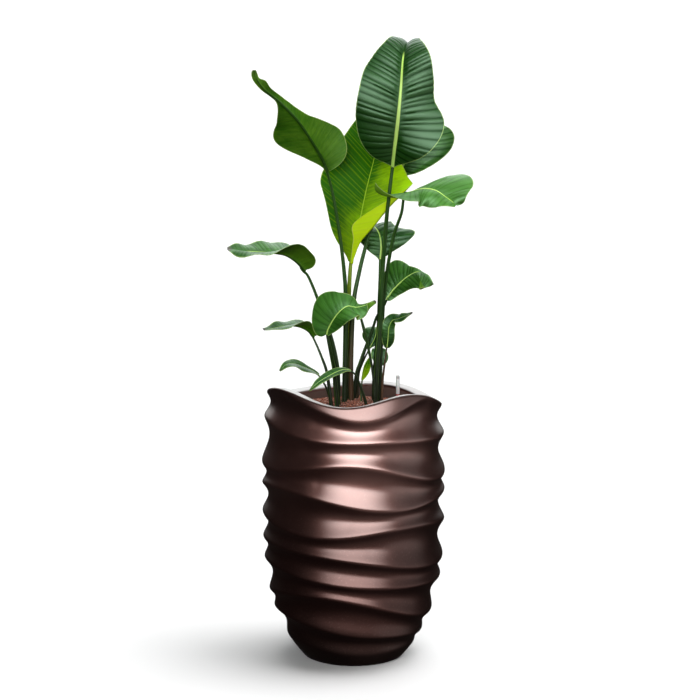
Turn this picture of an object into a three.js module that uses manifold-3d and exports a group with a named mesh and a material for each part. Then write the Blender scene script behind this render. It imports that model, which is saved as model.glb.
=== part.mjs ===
// Potted white bird of paradise: a tall wavy planter, its granule filling,
// a water-level tube and seventeen leaves, each with its own stalk.
// Millimetres, +Z up, origin on the floor at the middle of the planter's foot.
// The front of the plant faces -Y.
import * as THREE from 'three';
import { mergeVertices } from 'three/addons/utils/BufferGeometryUtils.js';
import Module from 'manifold-3d';

const wasm = await Module();
wasm.setup();

// Planter
const BARREL_RADIUS = 212;
const FOOT_TAPER = 0.46;
const FOOT_HEIGHT = 450;
const FOOT_ROUNDNESS = 4.2;
const MOUTH_DRAW_IN = 12;
const MOUTH_START = 450;
const MOUTH_SPAN = 165;
const FOOT_EDGE = 4;
const WALL = 11;
const FLOOR_TOP = 22;
const RIM_ROUNDING = 3;
const LIP_WIDTH = 24;
const LIP_FALL = 3;
const LIP_DROP = 9;
const INNER_HEIGHTS = [420, 260, 150, 80];
const GROOVE_PER_GAP = 0.23;
const GROOVE_DEEPEST = 16;
const GROOVE_FADE = 22;
const GROOVE_SKEW = 1.25;
const RIM_TUCK_PER_GAP = 0.18;
const RIM_TUCK_DEEPEST = 6;
const LEAST_GAP = 6;
const PLANTER_COLUMNS = 40;
const GROOVE_ROWS = [0, 0.3, 0.6, 0.85];

// Filling and tube
const CLEARANCE = 0.4;
const FILL_SIDE_GAP = 2;
const FILL_EDGE_HEIGHT = 566;
const MOUND_HEIGHT = 24;
const MOUND_CENTRE = [4, 50];
const MOUND_RADIUS = 120;
const GRANULE_RELIEF = 3;
const RELIEF_FREQUENCY = [0.61, 0.57];
const RELIEF_WANDER = [[1.7, 0.23], [1.3, 0.31]];
const FILL_RINGS = 7;
const TUBE_RADIUS = 4.2;
const TUBE_TOP = 647;
const TUBE_SUNK = 40;
const TUBE_TOP_CHAMFER = [1.5, 3];
const TUBE_SIDES = 12;
const TUBE_PLACE = [103, 62];

// Leaves
const BLADE_THICKNESS = 1.1;
const LEAST_HALF_WIDTH = 1.6;
const STALK_SUNK = 34;
const STALK_SIDES = 7;
const CURL_STEPS = 24;
const ROLL_START = 0.62;
const FOLD_SPAN = 0.14;
const HALF_PHASE = 0.37;
const BREADTHS = [0.12, 0.4, 0.72, 1];
const FOLD_BREADTHS = [0.12, 0.42, 0.5, 0.58, 1];
const RIB_DEPTH = 1.5;
const RIB_TAPER = 0.85;
const STALK_UNDER_RIB = 0.9;
const STALK_JOIN = 0.16;
const STALK_END = 0.75;
const EXTRA_STALK_STEPS = 5;
const SPEAR_STEPS = 12;

const BRONZE = { color: 0x3d2520, roughness: 0.34, metalness: 0.85 };
const GRANULE = { color: 0xa5553a, roughness: 0.95, metalness: 0 };
const CLEAR_TUBE = { color: 0xe9e9e6, roughness: 0.3, metalness: 0 };
const DARK_LEAF = { color: 0x1f5227, roughness: 0.42, metalness: 0 };
const LIME_LEAF = { color: 0x6aa51e, roughness: 0.45, metalness: 0 };

// Fold lines round the planter, from the foot up. Each has its mean height and
// the size and direction (degrees) of its once-, twice- and more-fold sways.
const FOLDS = [
  { height: 41, sway: [[8, 174], [2, 27], [3, 249]] },
  { height: 89, sway: [[23, 183], [6, 82], [5, 215]] },
  { height: 146, sway: [[26, 205], [14, 146], [3, 73]] },
  { height: 212, sway: [[18, 178], [4, 66], [3, 203]] },
  { height: 263, sway: [[20, 184], [8, 105], [3, 127]] },
  { height: 332, sway: [[3, 163], [5, 292], [7, 194]] },
  { height: 400, sway: [[11, 177], [8, 75], [6, 319]] },
  { height: 460, sway: [[11, 217], [11, 161], [11, 99]] },
  { height: 544, sway: [[14, 169], [3, 43], [6, 183]] },
  { height: 603, sway: [[23, 224], [15, 5], [16, 243], [3, 214], [4, 183]] },
  { height: 617, sway: [[18, 247], [3, 140], [13, 235], [5, 166]] },
];

// Each leaf runs from the foot of its blade to its tip. midrib and stalk are
// points in millimetres, the stalk from the filling up. face is the way the
// upper side looks. width is half the blade's breadth along its veins, at
// evenly spaced stations. lift folds that half up from the midrib, bend curves
// it and roll curls its edge (degrees). fold is how far out the roll starts,
// where the edge folds over flat. sweep leans the veins to the tip.
const LEAVES = [
  {
    name: 'leaf_crown',
    rows: 14,
    midrib: [[88, -20, 1138], [93, -48, 1191], [99, -60, 1251], [105, -52, 1316], [110, -24, 1377],
      [118, 12, 1410], [124, 45, 1410], [127, 70, 1391]],
    face: [[0.05, -1, 0.2], [0, -1, 0.1], [0, -0.9, 0.5], [0, 0.1, 1]],
    sweep: [-40, -8, 25, 32, 35],
    wave: [5, 3, 0.1],
    left: {
      width: [3, 5, 20, 56, 83, 97, 99, 94, 75, 54, 42, 34, 33, 28, 9],
      lift: [30, 18, 20, 32, 46],
      bend: [-45, -40, -35, -50, -75],
    },
    right: {
      width: [3, 6, 18, 46, 86, 106, 83, 79, 72, 56, 37, 27, 21, 17, 6],
      lift: [30, 50, 44, 6, 12, 36, 46, 60, 64],
      bend: [-30, -30, -30, -45, -70],
    },
    stalk: [[51, 40, 592], [54, 37, 680], [60, 30, 758], [63, 22, 829], [67, 12, 911], [76, -12, 1034]],
    radius: [6.2, 4.5],
  },
  {
    name: 'leaf_lime_tall',
    lime: true,
    rows: 14,
    midrib: [[-6, 44, 914], [2, 44, 964], [15, 50, 1012], [29, 62, 1077], [48, 76, 1152],
      [58, 86, 1202], [65, 94, 1240]],
    face: [[0, -1, 0.15], [0, -1, 0.25], [0, -1, 0.4]],
    sweep: [10, 32, 35],
    wave: [4, 3, 0.4],
    left: { width: [5, 18, 68, 122, 112, 92, 68, 42, 6], lift: [35, 14, 14], bend: [-20, -15, -20] },
    right: {
      width: [5, 17, 46, 136, 100, 60, 40, 22, 6],
      lift: [34, 14, 12],
      bend: [0, -15, -20],
      roll: [178, 178],
      fold: [0.42, 0.42, 0.42, 0.45, 1.25, 1.25, 1.25, 1.25, 1.25],
    },
    stalk: [[-14, 60, 592], [-13, 60, 700], [-12, 55, 790], [-9, 47, 870]],
    radius: [6.2, 5],
  },
  {
    name: 'leaf_left_high',
    rows: 15,
    midrib: [[-59, -2, 1126], [-72, -16, 1158], [-106, -40, 1215], [-129, -55, 1248], [-163, -78, 1285],
      [-195, -98, 1314], [-212, -106, 1337], [-217, -106, 1358]],
    face: [[0.2, 1, 0.2], [0.1, 1, 0], [0, 1, 0.1]],
    sweep: [-5, 28, 30],
    wave: [3, 2, 0.2],
    left: {
      width: [6, 30, 52, 69, 78, 70, 56, 38, 27, 22, 18, 15, 18, 8, 6, 4, 1.6],
      lift: [25, 34, 46, 54, 58, 50, 5, 45, 65],
      bend: [-15, -10, -10],
    },
    right: { width: [5, 8, 36, 78, 42, 6, 8, 11, 1.6], lift: [20, 10, 10], bend: [-20, -10, 10] },
    stalk: [[-21, 32, 592], [-19, 28, 700], [-18, 20, 832], [-22, 16, 902], [-31, 10, 978],
      [-41, 6, 1042], [-50, 2, 1088]],
    radius: [6.2, 4],
  },
  {
    name: 'leaf_right_high',
    rows: 10,
    midrib: [[106, 132, 1102], [120, 129, 1141], [132, 137, 1186], [146, 153, 1236], [157, 172, 1272]],
    face: [[0.15, -1, 0.2], [0.2, -1, 0.3], [0.2, -0.8, 0.7]],
    sweep: [-8, 28, 32],
    wave: [4, 3, 0.7],
    left: { width: [5, 12, 60, 84, 84, 64, 42, 22, 5], lift: [25, 15, 15], bend: [-25, -25, -20] },
    right: {
      width: [5, 13, 52, 104, 97, 42, 26, 14, 4],
      lift: [25, 12, 10],
      bend: [-10, -25, -20],
      roll: [70, 30, 0],
    },
    stalk: [[-5, 44, 592], [-6, 44, 690], [0, 52, 815], [14, 70, 890], [28, 88, 944], [40, 102, 982],
      [68, 124, 1026], [92, 134, 1068]],
    radius: [6, 4],
  },
  {
    name: 'leaf_right_spread',
    rows: 12,
    midrib: [[114, -8, 1079], [131, -4, 1082], [149, 2, 1086], [169, 0, 1087], [189, -6, 1082],
      [209, -16, 1069], [224, -28, 1059], [230, -30, 1052]],
    face: [[-0.1, -0.35, 1], [0, -0.35, 1], [0.25, -0.3, 1]],
    sweep: [-20, 25, 35],
    wave: [3, 3, 0.3],
    left: {
      width: [8, 20, 28, 60, 90, 74, 44, 22, 4],
      lift: [-35, -25, 25, 40, 40],
      bend: [-20, -20, -25],
      sweep: [-10, 25, 34, 32, 40],
    },
    right: {
      width: [97, 52, 46, 50, 58, 46, 28, 12, 3],
      lift: [4, 8, 5, 0, 0],
      bend: [28, -45, -70, -50, -20],
      roll: [90, 0, 0],
      sweep: [-79, -22, -10, 5, 25],
    },
    stalk: [[60, 60, 592], [63, 58, 683], [66, 52, 755], [69, 43, 820], [75, 33, 880], [83, 22, 934],
      [94, 10, 987], [109, -4, 1034]],
    radius: [4.2, 3.8],
  },
  {
    name: 'leaf_right_back',
    rows: 13,
    midrib: [[62, 104, 913], [64, 106, 940], [62, 110, 962], [56, 120, 978], [46, 138, 986],
      [34, 160, 982], [24, 178, 966]],
    face: [[0.1, -1, 0.5], [0, -0.8, 0.8], [0, -0.2, 1], [0, 0.3, 1]],
    sweep: [-15, 20, 30],
    wave: [4, 3, 0.15],
    left: { width: [4, 10, 36, 52, 44, 36, 28, 16, 3], lift: [20, 12, 10], bend: [-30, -35, -30] },
    right: {
      width: [4, 6, 9, 18, 32, 60, 84, 56, 46, 46, 38, 33, 30, 24, 18, 10, 3],
      lift: [20, 10, 10],
      bend: [-30, -30, -25],
      sweep: [-10, 5, 10, 20],
    },
    stalk: [[47, 56, 592], [50, 60, 668], [57, 66, 748], [59, 76, 812], [61, 92, 872]],
    radius: [5, 3.6],
  },
  {
    name: 'leaf_right_mid',
    rows: 10,
    midrib: [[76, 52, 826], [85, 56, 839], [97, 54, 854], [121, 44, 878], [147, 32, 893],
      [167, 22, 885], [182, 16, 866]],
    face: [[-0.1, -0.8, 0.6], [0, -0.7, 0.8], [0.3, -0.6, 0.8]],
    sweep: [-15, 25, 10],
    wave: [3, 3, 0.6],
    left: { width: [4, 10, 38, 62, 27, 8, 5, 3, 2], lift: [25, 20, 10, 10], bend: [-35, -35, -20] },
    right: { width: [4, 12, 20, 29, 52, 52, 40, 18, 2], lift: [10, 5, 0], bend: [-30, -30, 0] },
    stalk: [[1, 66, 592], [8, 63, 650], [15, 62, 673], [26, 61, 706], [42, 60, 749], [54, 60, 785],
      [69, 57, 808]],
    radius: [5.4, 3.4],
  },
  {
    name: 'leaf_left_arch',
    rows: 11,
    midrib: [[-111, -20, 903], [-126, -30, 923], [-148, -42, 940], [-169, -52, 947],
      [-205, -66, 951], [-243, -78, 955], [-281, -86, 961]],
    face: [[0, -0.15, 1], [0, -0.2, 1], [0, -0.3, 1]],
    sweep: [-30, 10, 28, 30],
    wave: [4, 3, 0.3],
    left: { width: [10, 30, 52, 62, 38, 28, 24, 12, 2], lift: [75, 55, 0, 0], bend: [-35, -30, -15] },
    right: { width: [6, 26, 46, 48, 40, 32, 22, 10, 2], lift: [35, 25, 20], bend: [-20, -15, -10] },
    stalk: [[-36, 24, 592], [-38, 14, 674], [-53, 4, 750], [-72, -2, 800], [-84, -6, 842], [-103, -14, 889]],
    radius: [6, 3.6],
  },
  {
    name: 'leaf_front',
    rows: 11,
    midrib: [[-61, -38, 759], [-57, -42, 773], [-43, -50, 799], [-28, -54, 817], [-13, -52, 826],
      [8, -48, 823], [33, -44, 829], [49, -42, 836]],
    face: [[-0.1, -1, 0.5], [-0.1, -0.8, 0.7], [0.1, -0.7, 0.8]],
    sweep: [-20, 25, 35],
    wave: [2.5, 2, 0.2],
    left: {
      width: [12, 28, 52, 68, 42, 14, 6, 4, 1.6],
      lift: [15, 12, 10],
      bend: [-25, -30, -10],
      sweep: [-45, 22, 35],
    },
    right: {
      width: [4, 10, 21, 34, 42, 32, 27, 16, 1.6],
      lift: [20, 12, 5],
      bend: [-30, -30, -10],
      roll: [0, 0, 0, 0, 0, 60, 165, 165, 120],
      fold: [1.25, 1.25, 1.25, 1.25, 1.25, 0.9, 0.47, 0.45, 0.45],
    },
    stalk: [[-38, 4, 592], [-42, -2, 640], [-45, -8, 676], [-52, -24, 716]],
    radius: [5.4, 4],
  },
  {
    name: 'leaf_left_low',
    rows: 9,
    midrib: [[-91, 8, 747], [-101, 3, 760], [-115, -6, 770], [-129, -18, 776], [-146, -32, 779],
      [-166, -52, 779], [-186, -66, 777], [-203, -74, 777]],
    face: [[0.1, -0.1, 1], [0, -0.25, 1], [0, -0.4, 1]],
    sweep: [-25, 10, 25, 30],
    wave: [3, 2, 0.5],
    left: { width: [5, 14, 24, 36, 28, 18, 11, 6, 2], lift: [70, 45, 10, 0], bend: [-25, -20, -30] },
    right: { width: [5, 14, 26, 24, 18, 18, 12, 6, 2], lift: [30, 25, 15], bend: [-20, -15, -15] },
    stalk: [[-52, 4, 592], [-57, 4, 638], [-63, 2, 672], [-73, 1, 700], [-82, 5, 722]],
    radius: [4.6, 3],
  },
  {
    name: 'leaf_left_small',
    rows: 7,
    midrib: [[-79, 28, 654], [-95, 18, 666], [-115, 6, 677], [-136, -8, 687], [-154, -18, 686],
      [-168, -24, 673]],
    face: [[0, -0.5, 1], [-0.1, -0.5, 1], [-0.5, -0.5, 0.8]],
    sweep: [10, 28, 35],
    wave: [1.5, 2, 0],
    left: { width: [3, 6, 14, 20, 22, 18, 10, 5, 2], lift: [15, 5, 5], bend: [-20, -20, -15] },
    right: { width: [3, 5, 8, 12, 16, 14, 8, 4, 2], lift: [30, 20, 10], bend: [-15, -15, -10] },
    stalk: [[-54, 32, 592], [-58, 32, 608], [-66, 31, 630]],
    radius: [3, 2.2],
  },
  {
    name: 'leaf_front_small',
    rows: 7,
    midrib: [[-6, -4, 670], [-21, -12, 674], [-39, -24, 670], [-58, -36, 662], [-80, -46, 650],
      [-100, -52, 632]],
    face: [[0, -0.6, 1], [-0.1, -0.6, 1], [-0.2, -0.6, 1]],
    sweep: [10, 30, 35],
    wave: [1.5, 2, 0.3],
    left: { width: [3, 7, 11, 12, 13, 10, 8, 4, 2], lift: [15, 8, 5], bend: [-25, -20, -15] },
    right: { width: [3, 4, 7, 12, 16, 11, 6, 3, 2], lift: [25, 15, 10], bend: [-15, -15, -10] },
    stalk: [[28, 12, 592], [20, 8, 618], [12, 4, 642], [4, 0, 660]],
    radius: [3.4, 2.4],
  },
  {
    name: 'leaf_back_small',
    rows: 7,
    midrib: [[39, 78, 710], [46, 80, 724], [51, 84, 735], [53, 92, 747], [52, 104, 753], [50, 118, 749]],
    face: [[-0.2, -1, 0.5], [0, -0.8, 0.8], [0, 0, 1]],
    sweep: [-10, 22, 35],
    wave: [2, 2, 0.4],
    left: { width: [3, 9, 30, 34, 28, 24, 18, 10, 2], lift: [15, 10, 10], bend: [-30, -30, -30] },
    right: { width: [3, 5, 12, 22, 24, 18, 14, 8, 2], lift: [15, 10, 10], bend: [-30, -30, -30] },
    stalk: [[10, 76, 592], [12, 79, 644], [20, 81, 670], [33, 80, 698]],
    radius: [3, 2.2],
  },
  {
    name: 'leaf_right_low',
    rows: 9,
    midrib: [[77, 44, 715], [79, 38, 731], [80, 34, 748], [82, 32, 766], [90, 28, 781],
      [104, 18, 787], [120, 8, 795], [134, 0, 803]],
    face: [[0.1, -1, 0.4], [0.1, -0.8, 0.7], [0.1, -0.5, 1]],
    sweep: [-15, 15, 30],
    wave: [2, 3, 0.1],
    left: { width: [3, 8, 14, 17, 18, 14, 9, 4, 2], lift: [15, 10, 20], bend: [-30, -30, -10] },
    right: { width: [3, 9, 15, 15, 12, 12, 9, 5, 2], lift: [15, 10, 0], bend: [-30, -30, -10] },
    stalk: [[66, 44, 592], [67, 46, 630], [70, 46, 660], [74, 45, 690]],
    radius: [3.4, 2.4],
  },
  {
    name: 'leaf_right_inner',
    rows: 6,
    midrib: [[66, 72, 668], [63, 72, 680], [59, 73, 692], [57, 78, 703], [56, 90, 709]],
    face: [[0, -1, 0.5], [0, -0.7, 0.8], [0, 0, 1]],
    sweep: [-10, 22, 35],
    wave: [1.5, 2, 0],
    left: { width: [3, 5, 12, 18, 19, 15, 11, 6, 2], lift: [15, 10, 10], bend: [-30, -30, -30] },
    right: { width: [3, 9, 18, 23, 22, 16, 12, 6, 2], lift: [15, 10, 10], bend: [-30, -30, -30] },
    stalk: [[62, 78, 592], [63, 76, 622], [65, 74, 648]],
    radius: [3, 2],
  },
  {
    name: 'leaf_lime_small',
    lime: true,
    rows: 6,
    midrib: [[20, 46, 638], [24, 42, 655], [30, 38, 673], [36, 36, 691]],
    face: [[0.1, -1, 0.2], [0.1, -1, 0.3]],
    sweep: [15, 35, 40],
    wave: [1, 2, 0],
    left: { width: [2, 2, 3, 5, 7, 7, 5, 3, 2], lift: [25, 20, 20], bend: [-10, -10, -10] },
    right: { width: [2, 4, 9, 13, 13, 10, 6, 3, 2], lift: [25, 20, 20], bend: [-10, -10, -10] },
    stalk: [[18, 36, 592], [18, 40, 615]],
    radius: [2.8, 2],
  },
];

// A new leaf, still rolled up
const SPEAR = {
  name: 'leaf_spear',
  path: [[49, 20, 592], [47, 18, 636], [42, 15, 676], [37, 12, 704], [31, 8, 734], [23, 2, 768],
    [14, -4, 802], [9, -8, 818]],
  radius: [4.2, 3.4, 3, 3.2, 3.6, 1.2],
};

const vector = (p) => new THREE.Vector3(p[0], p[1], p[2]);
const radians = THREE.MathUtils.degToRad;

// Value of an evenly spaced list at 0 to 1, as a smooth curve through it
function along(list, q) {
  const last = list.length - 1;
  const x = THREE.MathUtils.clamp(q, 0, 1) * last;
  const i = Math.min(Math.floor(x), last - 1);
  const s = x - i;
  const b = list[i];
  const c = list[i + 1];
  const a = i > 0 ? list[i - 1] : 2 * b - c;
  const d = i + 2 <= last ? list[i + 2] : 2 * c - b;
  return 0.5 * (2 * b + (c - a) * s + (2 * a - 5 * b + 4 * c - d) * s * s + (3 * b - a - 3 * c + d) * s ** 3);
}

// Closed skin over rings of points. A ring of one point is a pole.
function loft(rings) {
  const position = [];
  const index = [];
  const starts = [];
  for (const ring of rings) {
    starts.push(position.length / 3);
    for (const p of ring) {
      position.push(p.x, p.y, p.z);
    }
  }
  for (let r = 0; r < rings.length - 1; r += 1) {
    const low = rings[r].length;
    const high = rings[r + 1].length;
    const count = Math.max(low, high);
    for (let i = 0; i < count; i += 1) {
      const a = starts[r] + (i % low);
      const b = starts[r] + ((i + 1) % low);
      const c = starts[r + 1] + ((i + 1) % high);
      const d = starts[r + 1] + (i % high);
      if (low > 1) {
        index.push(a, b, high > 1 ? c : d);
      }
      if (high > 1) {
        index.push(a, c, d);
      }
    }
  }
  const geometry = new THREE.BufferGeometry();
  geometry.setAttribute('position', new THREE.Float32BufferAttribute(position, 3));
  geometry.setIndex(index);
  return geometry;
}

function solidOf(geometry) {
  const bare = geometry.clone();
  bare.deleteAttribute('normal');
  bare.deleteAttribute('uv');
  const merged = mergeVertices(bare, 1e-4);
  return new wasm.Manifold(new wasm.Mesh({
    numProp: 3,
    vertProperties: new Float32Array(merged.attributes.position.array),
    triVerts: new Uint32Array(merged.index.array),
  }));
}

function geometryOf(solid) {
  const mesh = solid.getMesh();
  const geometry = new THREE.BufferGeometry();
  geometry.setAttribute('position', new THREE.Float32BufferAttribute(mesh.vertProperties, mesh.numProp));
  geometry.setIndex(Array.from(mesh.triVerts));
  return geometry;
}

// Tube that follows a curve, its radius read from a list from start to end
function taperedTube(curve, radius, steps, sides, extra = 0) {
  const frames = curve.computeFrenetFrames(steps, false);
  const rings = [];
  for (let i = 0; i <= steps; i += 1) {
    const centre = curve.getPointAt(i / steps);
    const r = along(radius, i / steps) + extra;
    const ring = [];
    for (let k = 0; k < sides; k += 1) {
      const angle = (2 * Math.PI * k) / sides;
      ring.push(centre.clone()
        .addScaledVector(frames.normals[i], r * Math.cos(angle))
        .addScaledVector(frames.binormals[i], r * Math.sin(angle)));
    }
    rings.push(ring);
  }
  const start = curve.getPointAt(0).addScaledVector(frames.tangents[0], -extra);
  const end = curve.getPointAt(1).addScaledVector(frames.tangents[steps], extra);
  return loft([[start], ...rings, [end]]);
}

// Planter
function barrelRadius(z) {
  const low = Math.max(0, 1 - z / FOOT_HEIGHT);
  const high = Math.max(0, z - MOUTH_START) / MOUTH_SPAN;
  return BARREL_RADIUS * (1 - FOOT_TAPER * low ** FOOT_ROUNDNESS) - MOUTH_DRAW_IN * high * high;
}

function foldHeight(fold, angle) {
  let z = fold.height;
  fold.sway.forEach(([size, direction], i) => {
    z += size * Math.cos((i + 1) * angle - radians(direction));
  });
  return z;
}

// Heights of all folds at one angle, kept apart where two run together
function foldHeights(angle) {
  const heights = FOLDS.map((fold) => foldHeight(fold, angle));
  for (let i = heights.length - 2; i >= 0; i -= 1) {
    heights[i] = Math.min(heights[i], heights[i + 1] - LEAST_GAP);
  }
  return [0, ...heights];
}

function rimHeight(angle) {
  return foldHeight(FOLDS[FOLDS.length - 1], angle);
}

// How far the wall leans in from the last fold line up to the rim
function rimTuck(angle) {
  const [fold, rim] = foldHeights(angle).slice(-2);
  return Math.min(RIM_TUCK_PER_GAP * (rim - fold - LEAST_GAP), RIM_TUCK_DEEPEST);
}

// How far the wall lies inside the barrel in one gap, at s = 0 (low fold) to 1
function wallInset(gap, angle, span, s) {
  if (gap === 0) {
    return 0;
  }
  if (gap === FOLDS.length - 1) {
    return rimTuck(angle) * s * s;
  }
  const strength = Math.min(1, (span - LEAST_GAP) / GROOVE_FADE);
  const depth = strength * Math.min(GROOVE_PER_GAP * span, GROOVE_DEEPEST);
  return depth * Math.sin(Math.PI * s ** GROOVE_SKEW);
}

function around(radius, angle, z) {
  return new THREE.Vector3(radius * Math.cos(angle), radius * Math.sin(angle), z);
}

function planterGeometry() {
  const angles = Array.from({ length: PLANTER_COLUMNS }, (_, k) => (2 * Math.PI * k) / PLANTER_COLUMNS);
  const ringOf = (point) => angles.map((angle) => point(angle));
  const rings = [[new THREE.Vector3(0, 0, 0)]];
  rings.push(ringOf((angle) => around(barrelRadius(0) - FOOT_EDGE, angle, 0)));
  for (let gap = 0; gap < FOLDS.length; gap += 1) {
    for (const s of GROOVE_ROWS) {
      rings.push(ringOf((angle) => {
        const heights = foldHeights(angle);
        const span = heights[gap + 1] - heights[gap];
        const z = gap === 0 && s === 0 ? FOOT_EDGE : heights[gap] + s * span;
        return around(barrelRadius(z) - wallInset(gap, angle, span, s), angle, z);
      }));
    }
  }
  const rimRing = (inset, drop) => ringOf((angle) => {
    const z = rimHeight(angle);
    return around(barrelRadius(z) - inset(angle), angle, z - drop);
  });
  rings.push(rimRing((angle) => RIM_ROUNDING + rimTuck(angle), 0));
  rings.push(rimRing(() => LIP_WIDTH, LIP_FALL));
  rings.push(rimRing(() => GROOVE_DEEPEST + WALL, LIP_DROP));
  for (const z of innerHeights()) {
    rings.push(ringOf((angle) => around(innerRadius(z), angle, z)));
  }
  rings.push([new THREE.Vector3(0, 0, FLOOR_TOP)]);
  return loft(rings);
}

// Smooth inner wall, clear of the deepest groove
function innerRadius(z) {
  return barrelRadius(z) - GROOVE_DEEPEST - WALL;
}

function innerHeights() {
  return [FILL_EDGE_HEIGHT, ...INNER_HEIGHTS, FLOOR_TOP];
}

// Filling
function fillHeight(x, y) {
  const away = Math.hypot(x - MOUND_CENTRE[0], y - MOUND_CENTRE[1]) / MOUND_RADIUS;
  const mound = MOUND_HEIGHT * Math.exp(-away * away);
  const [alongX, alongY] = RELIEF_FREQUENCY;
  const [[sizeX, bendX], [sizeY, bendY]] = RELIEF_WANDER;
  const grains = Math.sin(x * alongX + sizeX * Math.sin(y * bendX))
    * Math.sin(y * alongY + sizeY * Math.sin(x * bendY));
  return FILL_EDGE_HEIGHT + mound + GRANULE_RELIEF * grains;
}

function fillSolid(holes) {
  const ringAt = (radius, height) => Array.from({ length: PLANTER_COLUMNS }, (_, k) => {
    const p = around(radius, (2 * Math.PI * k) / PLANTER_COLUMNS, 0);
    p.z = height(p.x, p.y);
    return p;
  });
  const bottom = FLOOR_TOP + CLEARANCE;
  const rings = [[new THREE.Vector3(0, 0, bottom)]];
  for (const z of innerHeights().slice(1).reverse()) {
    const level = Math.max(z, bottom);
    rings.push(ringAt(innerRadius(level) - FILL_SIDE_GAP, () => level));
  }
  for (let i = 0; i < FILL_RINGS; i += 1) {
    rings.push(ringAt((innerRadius(FILL_EDGE_HEIGHT) - FILL_SIDE_GAP) * (1 - i / FILL_RINGS), fillHeight));
  }
  rings.push([new THREE.Vector3(0, 0, fillHeight(0, 0))]);
  return holes.reduce((solid, hole) => solid.subtract(hole), solidOf(loft(rings)));
}

// Water-level tube, its top edge chamfered
function tubeGeometry(extra = 0) {
  const foot = FILL_EDGE_HEIGHT - TUBE_SUNK;
  const radius = TUBE_RADIUS + extra;
  const [inset, drop] = TUBE_TOP_CHAMFER;
  const profile = [
    [0, foot - extra], [radius, foot - extra], [radius, TUBE_TOP - drop],
    [radius - inset, TUBE_TOP], [0, TUBE_TOP],
  ].map(([r, z]) => new THREE.Vector2(r, z));
  const geometry = new THREE.LatheGeometry(profile, TUBE_SIDES);
  geometry.rotateX(Math.PI / 2);
  geometry.translate(TUBE_PLACE[0], TUBE_PLACE[1], 0);
  return geometry;
}

// Leaf blade
const stationToLength = (q) => (1 - Math.cos(Math.PI * q)) / 2;

function bladeFrame(leaf, q) {
  const t = stationToLength(q);
  const point = leaf.curve.getPointAt(t);
  const tangent = leaf.curve.getTangentAt(t);
  const face = new THREE.Vector3(...[0, 1, 2].map((axis) => along(leaf.face.map((f) => f[axis]), q)));
  const normal = face.addScaledVector(tangent, -face.dot(tangent)).normalize();
  const side = tangent.clone().cross(normal);
  return { t, point, tangent, normal, side };
}

// Point of the blade's middle surface on one half, at breadth 0 (midrib) to 1
function bladePoint(leaf, half, sign, frame, q, breadth) {
  const width = Math.max(along(half.width, q), LEAST_HALF_WIDTH);
  const lift = radians(along(half.lift, q));
  const bend = radians(along(half.bend, q));
  const roll = half.roll ? radians(along(half.roll, q)) : 0;
  const start = half.fold ? along(half.fold, q) : ROLL_START;
  const span = half.fold ? FOLD_SPAN : 1 - ROLL_START;
  const sweep = radians(along(half.sweep ?? leaf.sweep, q));
  const outward = frame.side.clone().multiplyScalar(sign * Math.cos(sweep))
    .addScaledVector(frame.tangent, Math.sin(sweep));
  const point = frame.point.clone();
  const step = breadth / CURL_STEPS;
  for (let i = 0; i < CURL_STEPS; i += 1) {
    const u = (i + 0.5) * step;
    const curl = THREE.MathUtils.clamp((u - start) / span, 0, 1);
    const angle = lift + bend * u + roll * curl;
    point.addScaledVector(outward, width * step * Math.cos(angle));
    point.addScaledVector(frame.normal, width * step * Math.sin(angle));
  }
  const [size, count, phase] = leaf.wave;
  const ripple = Math.sin(2 * Math.PI * (count * frame.t + phase + (sign > 0 ? HALF_PHASE : 0)));
  const fade = Math.sqrt(Math.sin(Math.PI * frame.t));
  return point.addScaledVector(frame.normal, size * ripple * fade * breadth * breadth);
}

// How far the midrib stands out below the blade
const ribDepth = (leaf, q) => leaf.radius[1] * RIB_DEPTH * (1 - RIB_TAPER * q);

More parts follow.
